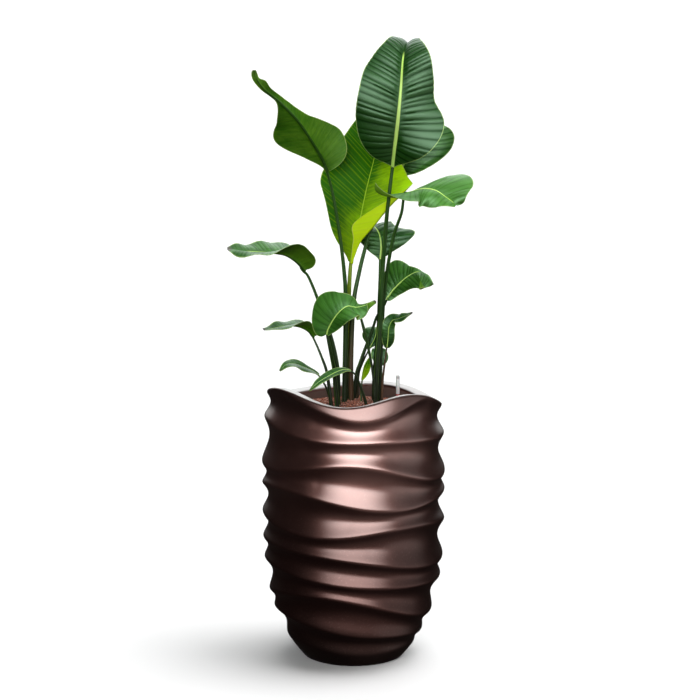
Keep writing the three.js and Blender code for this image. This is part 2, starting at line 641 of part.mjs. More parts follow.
function bladeGeometry(leaf) {
  const rows = [];
  for (let r = 0; r <= leaf.rows; r += 1) {
    const q = r / leaf.rows;
    const frame = bladeFrame(leaf, q);
    const breadths = leaf.right.fold ? FOLD_BREADTHS : BREADTHS;
    const left = BREADTHS.map((u) => bladePoint(leaf, leaf.left, -1, frame, q, u)).reverse();
    const right = breadths.map((u) => bladePoint(leaf, leaf.right, 1, frame, q, u));
    rows.push([...left, frame.point.clone(), ...right]);
  }
  const columns = rows[0].length;
  const middle = BREADTHS.length;
  const position = [];
  const clampRow = (r) => THREE.MathUtils.clamp(r, 0, leaf.rows);
  const clampColumn = (c) => THREE.MathUtils.clamp(c, 0, columns - 1);
  for (const face of [1, -1]) {
    for (let r = 0; r <= leaf.rows; r += 1) {
      for (let c = 0; c < columns; c += 1) {
        const ahead = rows[clampRow(r + 1)][c].clone().sub(rows[clampRow(r - 1)][c]);
        const across = rows[r][clampColumn(c + 1)].clone().sub(rows[r][clampColumn(c - 1)]);
        const normal = across.cross(ahead).normalize();
        const rib = c === middle && face < 0 ? ribDepth(leaf, r / leaf.rows) : 0;
        const offset = face * (BLADE_THICKNESS / 2 + rib);
        const p = rows[r][c].clone().addScaledVector(normal, offset);
        position.push(p.x, p.y, p.z);
      }
    }
  }
  const sheet = (leaf.rows + 1) * columns;
  const index = [];
  const quad = (a, b, c, d) => index.push(a, b, c, a, c, d);
  for (let r = 0; r < leaf.rows; r += 1) {
    for (let c = 0; c < columns - 1; c += 1) {
      const a = r * columns + c;
      const b = a + 1;
      const d = a + columns;
      const e = d + 1;
      index.push(a, b, e, a, e, d);
      index.push(sheet + a, sheet + e, sheet + b, sheet + a, sheet + d, sheet + e);
    }
    const low = r * columns;
    const high = low + columns;
    quad(sheet + low, low, high, sheet + high);
    quad(low + columns - 1, sheet + low + columns - 1, sheet + high + columns - 1, high + columns - 1);
  }
  const top = leaf.rows * columns;
  for (let c = 0; c < columns - 1; c += 1) {
    quad(c + 1, c, sheet + c, sheet + c + 1);
    quad(top + c, top + c + 1, sheet + top + c + 1, sheet + top + c);
  }
  const geometry = new THREE.BufferGeometry();
  geometry.setAttribute('position', new THREE.Float32BufferAttribute(position, 3));
  geometry.setIndex(index);
  return geometry;
}

// Stalk from below the filling's surface up into the thick foot of the midrib
function stalkCurve(leaf) {
  const sunkEnd = vector(leaf.stalk[0]);
  sunkEnd.z -= STALK_SUNK;
  const top = [0, STALK_JOIN].map((q) => {
    const frame = bladeFrame(leaf, q);
    return frame.point.clone().addScaledVector(frame.normal, -leaf.radius[1] * STALK_UNDER_RIB);
  });
  return new THREE.CatmullRomCurve3([sunkEnd, ...leaf.stalk.map(vector), ...top], false, 'catmullrom', 0.5);
}

function stalkGeometry(leaf, extra = 0) {
  const [foot, head] = leaf.radius;
  const steps = leaf.stalk.length + EXTRA_STALK_STEPS;
  const radius = [foot, foot, (foot + head) / 2, head, head * STALK_END];
  return taperedTube(stalkCurve(leaf), radius, steps, STALK_SIDES, extra);
}

function spearGeometry(extra = 0) {
  const points = SPEAR.path.map(vector);
  points.unshift(points[0].clone().add(new THREE.Vector3(0, 0, -STALK_SUNK)));
  const curve = new THREE.CatmullRomCurve3(points, false, 'catmullrom', 0.5);
  return taperedTube(curve, SPEAR.radius, SPEAR_STEPS, STALK_SIDES, extra);
}

const plant = new THREE.Group();

function addPiece(name, geometry, finish) {
  const mesh = new THREE.Mesh(geometry, new THREE.MeshStandardMaterial(finish));
  mesh.name = name;
  plant.add(mesh);
}

const holes = [solidOf(spearGeometry(CLEARANCE)), solidOf(tubeGeometry(CLEARANCE))];
for (const leaf of LEAVES) {
  leaf.curve = new THREE.CatmullRomCurve3(leaf.midrib.map(vector), false, 'catmullrom', 0.5);
  const solid = solidOf(bladeGeometry(leaf)).add(solidOf(stalkGeometry(leaf)));
  addPiece(leaf.name, geometryOf(solid), leaf.lime ? LIME_LEAF : DARK_LEAF);
  holes.push(solidOf(stalkGeometry(leaf, CLEARANCE)));
}
addPiece(SPEAR.name, spearGeometry(), DARK_LEAF);
addPiece('planter', planterGeometry(), BRONZE);
addPiece('granule_filling', geometryOf(fillSolid(holes)), GRANULE);
addPiece('water_level_tube', tubeGeometry(), CLEAR_TUBE);

export default plant;
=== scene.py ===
# Potted white bird of paradise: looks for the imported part.
# Shapes repeat the part's own formulas at a finer step. Sizes are millimetres
# and angles degrees unless a comment says otherwise, and meshes are stored in
# metres. Every piece stands for the CAD node of its own name.
import math
from collections import namedtuple

import bpy
import numpy as np
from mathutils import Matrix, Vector


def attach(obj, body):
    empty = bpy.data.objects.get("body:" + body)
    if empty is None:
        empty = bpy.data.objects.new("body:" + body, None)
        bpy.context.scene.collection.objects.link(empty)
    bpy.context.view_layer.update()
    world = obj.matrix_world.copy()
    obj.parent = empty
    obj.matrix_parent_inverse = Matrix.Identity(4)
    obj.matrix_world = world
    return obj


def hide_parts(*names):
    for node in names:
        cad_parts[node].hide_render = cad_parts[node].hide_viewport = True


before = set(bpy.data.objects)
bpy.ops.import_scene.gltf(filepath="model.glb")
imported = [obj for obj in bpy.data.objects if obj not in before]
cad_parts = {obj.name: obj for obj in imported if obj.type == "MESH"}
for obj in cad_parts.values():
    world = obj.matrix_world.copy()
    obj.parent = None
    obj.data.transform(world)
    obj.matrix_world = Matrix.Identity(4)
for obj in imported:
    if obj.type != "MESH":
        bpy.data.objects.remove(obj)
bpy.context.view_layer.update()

METRE = 1000
DECIMETRE = 100

# Planter
BARREL_RADIUS = 212
FOOT_TAPER = 0.46
FOOT_HEIGHT = 450
FOOT_ROUNDNESS = 4.2
MOUTH_DRAW_IN = 12
MOUTH_START = 450
MOUTH_SPAN = 165
WALL = 11
FLOOR_TOP = 22
LIP_WIDTH = 24
LIP_FALL = 3
LIP_DROP = 9
GROOVE_PER_GAP = 0.23
GROOVE_DEEPEST = 16
GROOVE_FADE = 22
GROOVE_SKEW = 1.25
RIM_TUCK_PER_GAP = 0.18
RIM_TUCK_DEEPEST = 6
LEAST_GAP = 6
CREST_SOFTNESS = 3.0
CREST_REACH = 9
PLANTER_COLUMNS = 288
PLANTER_ROWS = 250

# Rounded edges of the planter, as steps in from the barrel and up or down
EDGE_ROUND = 3
FOOT_EDGE = ((6, 0), (3.2, 0.25), (1.2, 1.2))
LIP_OUTER_EDGE = ((0.3, 2.2), (0.9, 1.1), (1.8, 0.35), (EDGE_ROUND, 0))
LIP_INNER_EDGE = ((25.4, 3.9), (26.5, 5.8), (27, LIP_DROP))
LIP_STEPS = 6
LIP_MARGIN = 2
INNER_STEPS = 12
INNER_HEIGHTS = (520, 420, 260, 150, 80, FLOOR_TOP)
FOOT_RING = 60
MIDDLE_RING = 4

# Filling, granules and tube
FILL_EDGE_HEIGHT = 566
FILL_SIDE_GAP = 2
FILL_FLOOR_GAP = 0.4
FILL_SIDE_HEIGHTS = (80, 150, 260, 420, 540)
FILL_COLUMNS = 96
FILL_RINGS = 28
BLOCK_BELOW_GRANULES = 2
MOUND_HEIGHT = 24
MOUND_CENTRE = (4, 50)
MOUND_RADIUS = 120
GRANULE_SEED = 7
GRANULE_PITCH = 5.8
GRANULE_SIDE_GAP = 2.5
GRANULE_SIZE = (2.0, 3.2)
GRANULE_LEVEL = (-1.0, 1.6)
GRANULE_SQUASH = (0.7, 1.15)
GRANULE_LUMPS = (0.85, 1.15)
GRANULE_SHADES = (0.2, 1)
TUBE_RADIUS = 4.2
TUBE_TOP = 647
TUBE_SUNK = 40
TUBE_PLACE = (103, 62)
TUBE_PLAIN_HEIGHTS = (580, 590)
TUBE_MARK = (599, 602.5)
TUBE_MARK_BLUR = 0.5
TUBE_CAP_RING = 0.3
TUBE_COLUMNS = 32
TUBE_CREASE = 50

# Joint line and round end of the tube, as steps in from its side and down from
# its top
TUBE_JOINT = ((0, 9), (0.35, 8.6), (0.35, 8.0), (0, 7.6))
TUBE_END = ((0, 2.2), (0.5, 0.9), (1.4, 0.2))

# Leaves
LEAST_HALF_WIDTH = 1.6
BLADE_THICKNESS = 0.9
ROLL_START = 0.62
FOLD_SPAN = 0.14
HALF_PHASE = 0.37
STALK_SUNK = 34
RIB_DEPTH = 1.5
RIB_TAPER = 0.85
RIB_NARROWING = 0.72
RIB_SPREAD = 1.6
CHANNEL_DEPTH = 0.7
CHANNEL_WIDTH = 0.9
BEND_STEPS = 24
BLADE_ROW_STEP = 1.05
BLADE_ROWS = (56, 340)
BLADE_COLUMN_BASE = 6
BLADE_COLUMN_STEP = 5.5
BLADE_COLUMNS = (10, 26)
FOLDED_COLUMNS = 40
COLUMN_CROWDING = 1.25
LEAF_CREASE = 55
SEED_STEP = 1.7
STALK_STEP = 7
STALK_SIDES = 18
STALK_JOINS = (0.0, 0.16)
STALK_JOIN_DEPTH = 0.9
STALK_TIP = 0.75
STALK_OVAL = 0.05

# Veins: how far beyond the midrib the swell between them is full, how much of it
# the edge loses, its roundness, its changes as size and pace, the right half's
# shift, and the uneven gaps as size, length in veins and turn with the seed
VEIN_SWELL_SPAN = 14
VEIN_EDGE_LOSS = 0.55
VEIN_ROUNDNESS = 0.8
VEIN_CHANGES = (0.3, 1.31)
VEIN_SHIFT = 0.4
VEIN_SWAYS = ((0.16, 3.7, 1), (0.10, 1.9, 2))

# Valleys at the veins, painted near black on the dark upper face as shade in the
# furrows between the swells, and as vein lines on the other faces: their widths,
# how strong the faintest are, the vein depth that adds full strength, and where
# they come in beside the midrib
VALLEY_WIDTH = 0.42
LIME_VALLEY_WIDTH = 0.24
VALLEY_LEAST = 0.25
VALLEY_FULL_DEPTH = 3.2
VALLEY_START = 0.6
VALLEY_SPAN = 3

# Rolled leaf: its radius from foot to tip, the turns of its edge round it, the
# share of the radius at the innermost layer and what the wrap adds, and its mesh
SPEAR_RADIUS = (4.2, 3.4, 3, 3.2, 3.6, 1.2)
SPEAR_TURNS = 1.6
SPEAR_INNERMOST = 0.93
SPEAR_WRAP = 0.09
SPEAR_TONE = 0.3
SPEAR_STEPS = 120
SPEAR_SIDES = 36

# Fold lines of the planter, from the foot up to the rim: the height of each,
# and the size and direction of its first, second and further waves round the pot
FOLDS = [
    (41, [(8, 174), (2, 27), (3, 249)]),
    (89, [(23, 183), (6, 82), (5, 215)]),
    (146, [(26, 205), (14, 146), (3, 73)]),
    (212, [(18, 178), (4, 66), (3, 203)]),
    (263, [(20, 184), (8, 105), (3, 127)]),
    (332, [(3, 163), (5, 292), (7, 194)]),
    (400, [(11, 177), (8, 75), (6, 319)]),
    (460, [(11, 217), (11, 161), (11, 99)]),
    (544, [(14, 169), (3, 43), (6, 183)]),
    (603, [(23, 224), (15, 5), (16, 243), (3, 214), (4, 183)]),
    (617, [(18, 247), (3, 140), (13, 235), (5, 166)]),
]

# One half of a blade, in lists from the stalk to the tip: its widths, how it
# rises from the midrib, how it bends on the way to the edge, how its edge rolls
# in and from which share of the width, and its own sweep towards the tip
Half = namedtuple("Half", "width lift bend roll fold sweep", defaults=([0, 0], None, None))

# Looks: half width of the pale midrib, tone from dark (0) to light (1), how brown
# the tip is, spacing and depth of the veins, how red the stalk is, and where on
# the blade the pale midrib ends
Look = namedtuple("Look", "rib tone brown spacing depth red rib_end", defaults=(0.97,))

# Leaves: the midrib's points, the ways that the upper face looks from stalk to
# tip, the sweep of both halves, the edge's waves as size, count and phase, and
# the stalk's points and its radius at foot and head
LEAVES = {}
LEAVES["leaf_crown"] = dict(
    midrib=[(88, -20, 1138), (93, -48, 1191), (99, -60, 1251), (105, -52, 1316), (110, -24, 1377),
            (118, 12, 1410), (124, 45, 1410), (127, 70, 1391)],
    face=[(0.05, -1, 0.2), (0, -1, 0.1), (0, -0.9, 0.5), (0, 0.1, 1)],
    sweep=[-40, -8, 25, 32, 35],
    wave=[5, 3, 0.1],
    left=Half([3, 5, 20, 56, 83, 97, 99, 94, 75, 54, 42, 34, 33, 28, 9], [30, 18, 20, 32, 46],
              [-45, -40, -35, -50, -75]),
    right=Half([3, 6, 18, 46, 86, 106, 83, 79, 72, 56, 37, 27, 21, 17, 6],
               [30, 50, 44, 6, 12, 36, 46, 60, 64], [-30, -30, -30, -45, -70]),
    stalk=[(51, 40, 592), (54, 37, 680), (60, 30, 758), (63, 22, 829), (67, 12, 911), (76, -12, 1034)],
    radius=[6.2, 4.5],
    look=Look(5.2, 0.0, 0, 11, 3.4, 0, rib_end=0.76),
)
LEAVES["leaf_lime_tall"] = dict(
    lime=True,
    midrib=[(-6, 44, 914), (2, 44, 964), (15, 50, 1012), (29, 62, 1077), (48, 76, 1152), (58, 86, 1202),
            (65, 94, 1240)],
    face=[(0, -1, 0.15), (0, -1, 0.25), (0, -1, 0.4)],
    sweep=[10, 32, 35],
    wave=[4, 3, 0.4],
    left=Half([5, 18, 68, 122, 112, 92, 68, 42, 6], [35, 14, 14], [-20, -15, -20]),
    right=Half([5, 17, 46, 136, 100, 60, 40, 22, 6], [34, 14, 12], [0, -15, -20], roll=[178, 178],
               fold=[0.42, 0.42, 0.42, 0.45, 1.25, 1.25, 1.25, 1.25, 1.25]),
    stalk=[(-14, 60, 592), (-13, 60, 700), (-12, 55, 790), (-9, 47, 870)],
    radius=[6.2, 5],
    look=Look(2.2, 0.5, 0, 9.5, 0.7, 0),
)
LEAVES["leaf_left_high"] = dict(
    midrib=[(-59, -2, 1126), (-72, -16, 1158), (-106, -40, 1215), (-129, -55, 1248), (-163, -78, 1285),
            (-195, -98, 1314), (-212, -106, 1337), (-217, -106, 1358)],
    face=[(0.2, 1, 0.2), (0.1, 1, 0), (0, 1, 0.1)],
    sweep=[-5, 28, 30],
    wave=[3, 2, 0.2],
    left=Half([6, 30, 52, 69, 78, 70, 56, 38, 27, 22, 18, 15, 18, 8, 6, 4, 1.6],
              [25, 34, 46, 54, 58, 50, 5, 45, 65], [-15, -10, -10]),
    right=Half([5, 8, 36, 78, 42, 6, 8, 11, 1.6], [20, 10, 10], [-20, -10, 10]),
    stalk=[(-21, 32, 592), (-19, 28, 700), (-18, 20, 832), (-22, 16, 902), (-31, 10, 978), (-41, 6, 1042),
           (-50, 2, 1088)],
    radius=[6.2, 4],
    look=Look(2.2, 0.5, 0.3, 11, 0.8, 0),
)
LEAVES["leaf_right_high"] = dict(
    midrib=[(106, 132, 1102), (120, 129, 1141), (132, 137, 1186), (146, 153, 1236), (157, 172, 1272)],
    face=[(0.15, -1, 0.2), (0.2, -1, 0.3), (0.2, -0.8, 0.7)],
    sweep=[-8, 28, 32],
    wave=[4, 3, 0.7],
    left=Half([5, 12, 60, 84, 84, 64, 42, 22, 5], [25, 15, 15], [-25, -25, -20]),
    right=Half([5, 13, 52, 104, 97, 42, 26, 14, 4], [25, 12, 10], [-10, -25, -20], roll=[70, 30, 0]),
    stalk=[(-5, 44, 592), (-6, 44, 690), (0, 52, 815), (14, 70, 890), (28, 88, 944), (40, 102, 982),
           (68, 124, 1026), (92, 134, 1068)],
    radius=[6, 4],
    look=Look(2.4, 0.7, 0.2, 10, 2.0, 0.8),
)
LEAVES["leaf_right_spread"] = dict(
    midrib=[(114, -8, 1079), (131, -4, 1082), (149, 2, 1086), (169, 0, 1087), (189, -6, 1082),
            (209, -16, 1069), (224, -28, 1059), (230, -30, 1052)],
    face=[(-0.1, -0.35, 1), (0, -0.35, 1), (0.25, -0.3, 1)],
    sweep=[-20, 25, 35],
    wave=[3, 3, 0.3],
    left=Half([8, 20, 28, 60, 90, 74, 44, 22, 4], [-35, -25, 25, 40, 40], [-20, -20, -25],
              sweep=[-10, 25, 34, 32, 40]),
    right=Half([97, 52, 46, 50, 58, 46, 28, 12, 3], [4, 8, 5, 0, 0], [28, -45, -70, -50, -20],
               roll=[90, 0, 0], sweep=[-79, -22, -10, 5, 25]),
    stalk=[(60, 60, 592), (63, 58, 683), (66, 52, 755), (69, 43, 820), (75, 33, 880), (83, 22, 934),
           (94, 10, 987), (109, -4, 1034)],
    radius=[4.2, 3.8],
    look=Look(2.6, 1.0, 0, 10, 0.8, 0),
)
LEAVES["leaf_right_back"] = dict(
    midrib=[(62, 104, 913), (64, 106, 940), (62, 110, 962), (56, 120, 978), (46, 138, 986),
            (34, 160, 982), (24, 178, 966)],
    face=[(0.1, -1, 0.5), (0, -0.8, 0.8), (0, -0.2, 1), (0, 0.3, 1)],
    sweep=[-15, 20, 30],
    wave=[4, 3, 0.15],
    left=Half([4, 10, 36, 52, 44, 36, 28, 16, 3], [20, 12, 10], [-30, -35, -30]),
    right=Half([4, 6, 9, 18, 32, 60, 84, 56, 46, 46, 38, 33, 30, 24, 18, 10, 3], [20, 10, 10],
               [-30, -30, -25], sweep=[-10, 5, 10, 20]),
    stalk=[(47, 56, 592), (50, 60, 668), (57, 66, 748), (59, 76, 812), (61, 92, 872)],
    radius=[5, 3.6],
    look=Look(2.2, 0.3, 0.3, 10, 2.6, 0),
)
LEAVES["leaf_right_mid"] = dict(
    midrib=[(76, 52, 826), (85, 56, 839), (97, 54, 854), (121, 44, 878), (147, 32, 893), (167, 22, 885),
            (182, 16, 866)],
    face=[(-0.1, -0.8, 0.6), (0, -0.7, 0.8), (0.3, -0.6, 0.8)],
    sweep=[-15, 25, 10],
    wave=[3, 3, 0.6],
    left=Half([4, 10, 38, 62, 27, 8, 5, 3, 2], [25, 20, 10, 10], [-35, -35, -20]),
    right=Half([4, 12, 20, 29, 52, 52, 40, 18, 2], [10, 5, 0], [-30, -30, 0]),
    stalk=[(1, 66, 592), (8, 63, 650), (15, 62, 673), (26, 61, 706), (42, 60, 749), (54, 60, 785),
           (69, 57, 808)],
    radius=[5.4, 3.4],
    look=Look(2.0, 0.6, 0.5, 9, 1.8, 0, rib_end=0.72),
)
LEAVES["leaf_left_arch"] = dict(
    midrib=[(-111, -20, 903), (-126, -30, 923), (-148, -42, 940), (-169, -52, 947), (-205, -66, 951),
            (-243, -78, 955), (-281, -86, 961)],
    face=[(0, -0.15, 1), (0, -0.2, 1), (0, -0.3, 1)],
    sweep=[-30, 10, 28, 30],
    wave=[4, 3, 0.3],
    left=Half([10, 30, 52, 62, 38, 28, 24, 12, 2], [75, 55, 0, 0], [-35, -30, -15]),
    right=Half([6, 26, 46, 48, 40, 32, 22, 10, 2], [35, 25, 20], [-20, -15, -10]),
    stalk=[(-36, 24, 592), (-38, 14, 674), (-53, 4, 750), (-72, -2, 800), (-84, -6, 842), (-103, -14, 889)],
    radius=[6, 3.6],
    look=Look(2.0, 0.6, 1, 9, 1.3, 0, rib_end=0.8),
)
LEAVES["leaf_front"] = dict(
    midrib=[(-61, -38, 759), (-57, -42, 773), (-43, -50, 799), (-28, -54, 817), (-13, -52, 826),
            (8, -48, 823), (33, -44, 829), (49, -42, 836)],
    face=[(-0.1, -1, 0.5), (-0.1, -0.8, 0.7), (0.1, -0.7, 0.8)],
    sweep=[-20, 25, 35],
    wave=[2.5, 2, 0.2],
    left=Half([12, 28, 52, 68, 42, 14, 6, 4, 1.6], [15, 12, 10], [-25, -30, -10], sweep=[-45, 22, 35]),
    right=Half([4, 10, 21, 34, 42, 32, 27, 16, 1.6], [20, 12, 5], [-30, -30, -10],
               roll=[0, 0, 0, 0, 0, 60, 165, 165, 120],
               fold=[1.25, 1.25, 1.25, 1.25, 1.25, 0.9, 0.47, 0.45, 0.45]),
    stalk=[(-38, 4, 592), (-42, -2, 640), (-45, -8, 676), (-52, -24, 716)],
    radius=[5.4, 4],
    look=Look(1.8, 0.75, 1, 10, 0.8, 0, rib_end=0.9),
)
LEAVES["leaf_left_low"] = dict(
    midrib=[(-91, 8, 747), (-101, 3, 760), (-115, -6, 770), (-129, -18, 776), (-146, -32, 779),
            (-166, -52, 779), (-186, -66, 777), (-203, -74, 777)],
    face=[(0.1, -0.1, 1), (0, -0.25, 1), (0, -0.4, 1)],
    sweep=[-25, 10, 25, 30],
    wave=[3, 2, 0.5],
    left=Half([5, 14, 24, 36, 28, 18, 11, 6, 2], [70, 45, 10, 0], [-25, -20, -30]),
    right=Half([5, 14, 26, 24, 18, 18, 12, 6, 2], [30, 25, 15], [-20, -15, -15]),
    stalk=[(-52, 4, 592), (-57, 4, 638), (-63, 2, 672), (-73, 1, 700), (-82, 5, 722)],
    radius=[4.6, 3],
    look=Look(1.2, 0.4, 1, 7, 1.2, 0),
)
LEAVES["leaf_left_small"] = dict(
    midrib=[(-79, 28, 654), (-95, 18, 666), (-115, 6, 677), (-136, -8, 687), (-154, -18, 686),
            (-168, -24, 673)],
    face=[(0, -0.5, 1), (-0.1, -0.5, 1), (-0.5, -0.5, 0.8)],
    sweep=[10, 28, 35],
    wave=[1.5, 2, 0],
    left=Half([3, 6, 14, 20, 22, 18, 10, 5, 2], [15, 5, 5], [-20, -20, -15]),
    right=Half([3, 5, 8, 12, 16, 14, 8, 4, 2], [30, 20, 10], [-15, -15, -10]),
    stalk=[(-54, 32, 592), (-58, 32, 608), (-66, 31, 630)],
    radius=[3, 2.2],
    look=Look(0.8, 0.45, 0.6, 6, 0.7, 0),
)
LEAVES["leaf_front_small"] = dict(
    midrib=[(-6, -4, 670), (-21, -12, 674), (-39, -24, 670), (-58, -36, 662), (-80, -46, 650),
            (-100, -52, 632)],
    face=[(0, -0.6, 1), (-0.1, -0.6, 1), (-0.2, -0.6, 1)],
    sweep=[10, 30, 35],
    wave=[1.5, 2, 0.3],
    left=Half([3, 7, 11, 12, 13, 10, 8, 4, 2], [15, 8, 5], [-25, -20, -15]),
    right=Half([3, 4, 7, 12, 16, 11, 6, 3, 2], [25, 15, 10], [-15, -15, -10]),
    stalk=[(28, 12, 592), (20, 8, 618), (12, 4, 642), (4, 0, 660)],
    radius=[3.4, 2.4],
    look=Look(1.0, 0.35, 0.3, 6, 0.8, 0),
)
LEAVES["leaf_back_small"] = dict(
    midrib=[(39, 78, 710), (46, 80, 724), (51, 84, 735), (53, 92, 747), (52, 104, 753), (50, 118, 749)],
    face=[(-0.2, -1, 0.5), (0, -0.8, 0.8), (0, 0, 1)],
    sweep=[-10, 22, 35],
    wave=[2, 2, 0.4],
    left=Half([3, 9, 30, 34, 28, 24, 18, 10, 2], [15, 10, 10], [-30, -30, -30]),
    right=Half([3, 5, 12, 22, 24, 18, 14, 8, 2], [15, 10, 10], [-30, -30, -30]),
    stalk=[(10, 76, 592), (12, 79, 644), (20, 81, 670), (33, 80, 698)],
    radius=[3, 2.2],
    look=Look(1.2, 0.3, 0.3, 6, 1.1, 0.4),
)
LEAVES["leaf_right_low"] = dict(
    midrib=[(77, 44, 715), (79, 38, 731), (80, 34, 748), (82, 32, 766), (90, 28, 781), (104, 18, 787),
            (120, 8, 795), (134, 0, 803)],
    face=[(0.1, -1, 0.4), (0.1, -0.8, 0.7), (0.1, -0.5, 1)],
    sweep=[-15, 15, 30],
    wave=[2, 3, 0.1],
    left=Half([3, 8, 14, 17, 18, 14, 9, 4, 2], [15, 10, 20], [-30, -30, -10]),
    right=Half([3, 9, 15, 15, 12, 12, 9, 5, 2], [15, 10, 0], [-30, -30, -10]),
    stalk=[(66, 44, 592), (67, 46, 630), (70, 46, 660), (74, 45, 690)],
    radius=[3.4, 2.4],
    look=Look(1.0, 0.3, 1, 6, 1.2, 0.9),
)
LEAVES["leaf_right_inner"] = dict(
    midrib=[(66, 72, 668), (63, 72, 680), (59, 73, 692), (57, 78, 703), (56, 90, 709)],
    face=[(0, -1, 0.5), (0, -0.7, 0.8), (0, 0, 1)],
    sweep=[-10, 22, 35],
    wave=[1.5, 2, 0],
    left=Half([3, 5, 12, 18, 19, 15, 11, 6, 2], [15, 10, 10], [-30, -30, -30]),
    right=Half([3, 9, 18, 23, 22, 16, 12, 6, 2], [15, 10, 10], [-30, -30, -30]),
    stalk=[(62, 78, 592), (63, 76, 622), (65, 74, 648)],
    radius=[3, 2],
    look=Look(1.2, 0.35, 0.2, 6, 0.4, 0.5),
)
LEAVES["leaf_lime_small"] = dict(
    lime=True,
    midrib=[(20, 46, 638), (24, 42, 655), (30, 38, 673), (36, 36, 691)],
    face=[(0.1, -1, 0.2), (0.1, -1, 0.3)],
    sweep=[15, 35, 40],
    wave=[1, 2, 0],
    left=Half([2, 2, 3, 5, 7, 7, 5, 3, 2], [25, 20, 20], [-10, -10, -10]),
    right=Half([2, 4, 9, 13, 13, 10, 6, 3, 2], [25, 20, 20], [-10, -10, -10]),
    stalk=[(18, 36, 592), (18, 40, 615)],
    radius=[2.8, 2],
    look=Look(1.2, 0.6, 0, 6, 0.4, 0),
)

# Middle line of the rolled leaf
SPEAR_PATH = [(49, 20, 558), (49, 20, 592), (47, 18, 636), (42, 15, 676), (37, 12, 704), (31, 8, 734),
              (23, 2, 768), (14, -4, 802), (9, -8, 818)]


# Curves and lists
def along(values, q):
    """Values at q, from 0 to 1, on a smooth curve through evenly spaced ones"""
    v = np.asarray(values, float)
    last = len(v) - 1
    x = np.clip(np.asarray(q, float), 0, 1) * last
    i = np.minimum(np.floor(x).astype(int), last - 1)
    s = x - i
    v = np.concatenate([[2 * v[0] - v[1]], v, [2 * v[-1] - v[-2]]])
    a, b, c, d = v[i], v[i + 1], v[i + 2], v[i + 3]
    bow = (2 * a - 5 * b + 4 * c - d) * s * s
    twist = (3 * b - a - 3 * c + d) * s ** 3
    return 0.5 * (2 * b + (c - a) * s + bow + twist)


def along_points(points, q):
    return np.stack([along(column, q) for column in np.asarray(points, float).T], -1)


def unit(v):
    return v / np.maximum(np.linalg.norm(v, axis=-1, keepdims=True), 1e-12)


def smooth(x, low, high):
    y = np.clip((np.asarray(x, float) - low) / (high - low), 0, 1)
    return y * y * (3 - 2 * y)


def eased(q):
    """Runs from 0 to 1 with q, slower at both ends"""
    return (1 - np.cos(np.pi * q)) / 2


def end_fade(t):
    """Nothing at both ends, 1 in the middle"""
    return np.sqrt(np.maximum(np.sin(np.pi * t), 0))


class Path:
    """A smooth line through points, with places on it given by their share of its length"""

    def __init__(self, points, steps=600):
        self.points = along_points(points, np.linspace(0, 1, steps + 1))
        run = np.linalg.norm(np.diff(self.points, axis=0), axis=1)
        run = np.concatenate([[0], np.cumsum(run)])
        self.length = run[-1]
        self.run = run / run[-1]

    def at(self, t):
        return np.stack([np.interp(t, self.run, column) for column in self.points.T], -1)

    def tangent(self, t):
        step = 2e-3
        return unit(self.at(np.minimum(t + step, 1)) - self.at(np.maximum(t - step, 0)))


# Mesh helpers
def turn(columns):
    """Angles of the columns once round, in radians"""
    return 2 * np.pi * np.arange(columns) / columns


def ring(angles, radius, height, middle=(0, 0)):
    x = middle[0] + radius * np.cos(angles)
    y = middle[1] + radius * np.sin(angles)
    return np.stack([x, y, np.broadcast_to(np.asarray(height, float), angles.shape)], -1)


def grid_faces(rows, columns, flip=False, wrap=False):
    r, c = np.meshgrid(np.arange(rows - 1), np.arange(columns if wrap else columns - 1), indexing="ij")
    a = r * columns + c
    b = r * columns + (c + 1) % columns
    quads = np.stack([a, b, b + columns, a + columns], -1).reshape(-1, 4)
    return quads[:, ::-1] if flip else quads


def ring_part(rings, **values):
    """A skin made of rings, open only at its two small ends"""
    rings = np.array(rings)
    return rings, [grid_faces(*rings.shape[:2], wrap=True)], 0, values


def strip_faces(count):
    """Quads between a closed loop of points and a second one that is stored after it"""
    i = np.arange(count)
    j = (i + 1) % count
    return np.stack([i, i + count, j + count, j], -1)


def make_mesh(name, parts, materials):
    """A part is its points in mm, its groups of faces, its material's number and its attributes"""
    points, faces, slots = [], [], []
    start = 0
    for part_points, groups, material, _ in parts:
        part_points = np.asarray(part_points, float).reshape(-1, 3)
        points.append(part_points)
        for group in groups:
            faces.extend((group + start).tolist())
            slots.extend([material] * len(group))
        start += len(part_points)
    mesh = bpy.data.meshes.new(name)
    mesh.from_pydata((np.concatenate(points) / METRE).tolist(), [], faces)
    mesh.polygons.foreach_set("material_index", np.array(slots, np.int32))
    mesh.polygons.foreach_set("use_smooth", np.ones(len(faces), bool))
    for key in dict.fromkeys(key for part in parts for key in part[3]):
        blank = [np.zeros_like(part_points) for part_points in points]
        values = [np.reshape(part[3].get(key, zeros), (-1, 3)) for part, zeros in zip(parts, blank)]
        attribute = mesh.attributes.new(key, "FLOAT_VECTOR", "POINT")
        attribute.data.foreach_set("vector", np.concatenate(values).astype(np.float32).ravel())
    for material in materials:
        mesh.materials.append(material)
    mesh.update()
    piece = bpy.data.objects.new(name, mesh)
    bpy.context.scene.collection.objects.link(piece)
    return piece


def make_piece(node, parts, materials, crease=None):
    """The dressed piece of one CAD node, sharp where faces meet at more than the crease angle"""
    piece = make_mesh("visual_" + node, parts, materials)
    if crease:
        piece.data.set_sharp_from_angle(angle=math.radians(crease))
    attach(piece, "root")
    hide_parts(node)


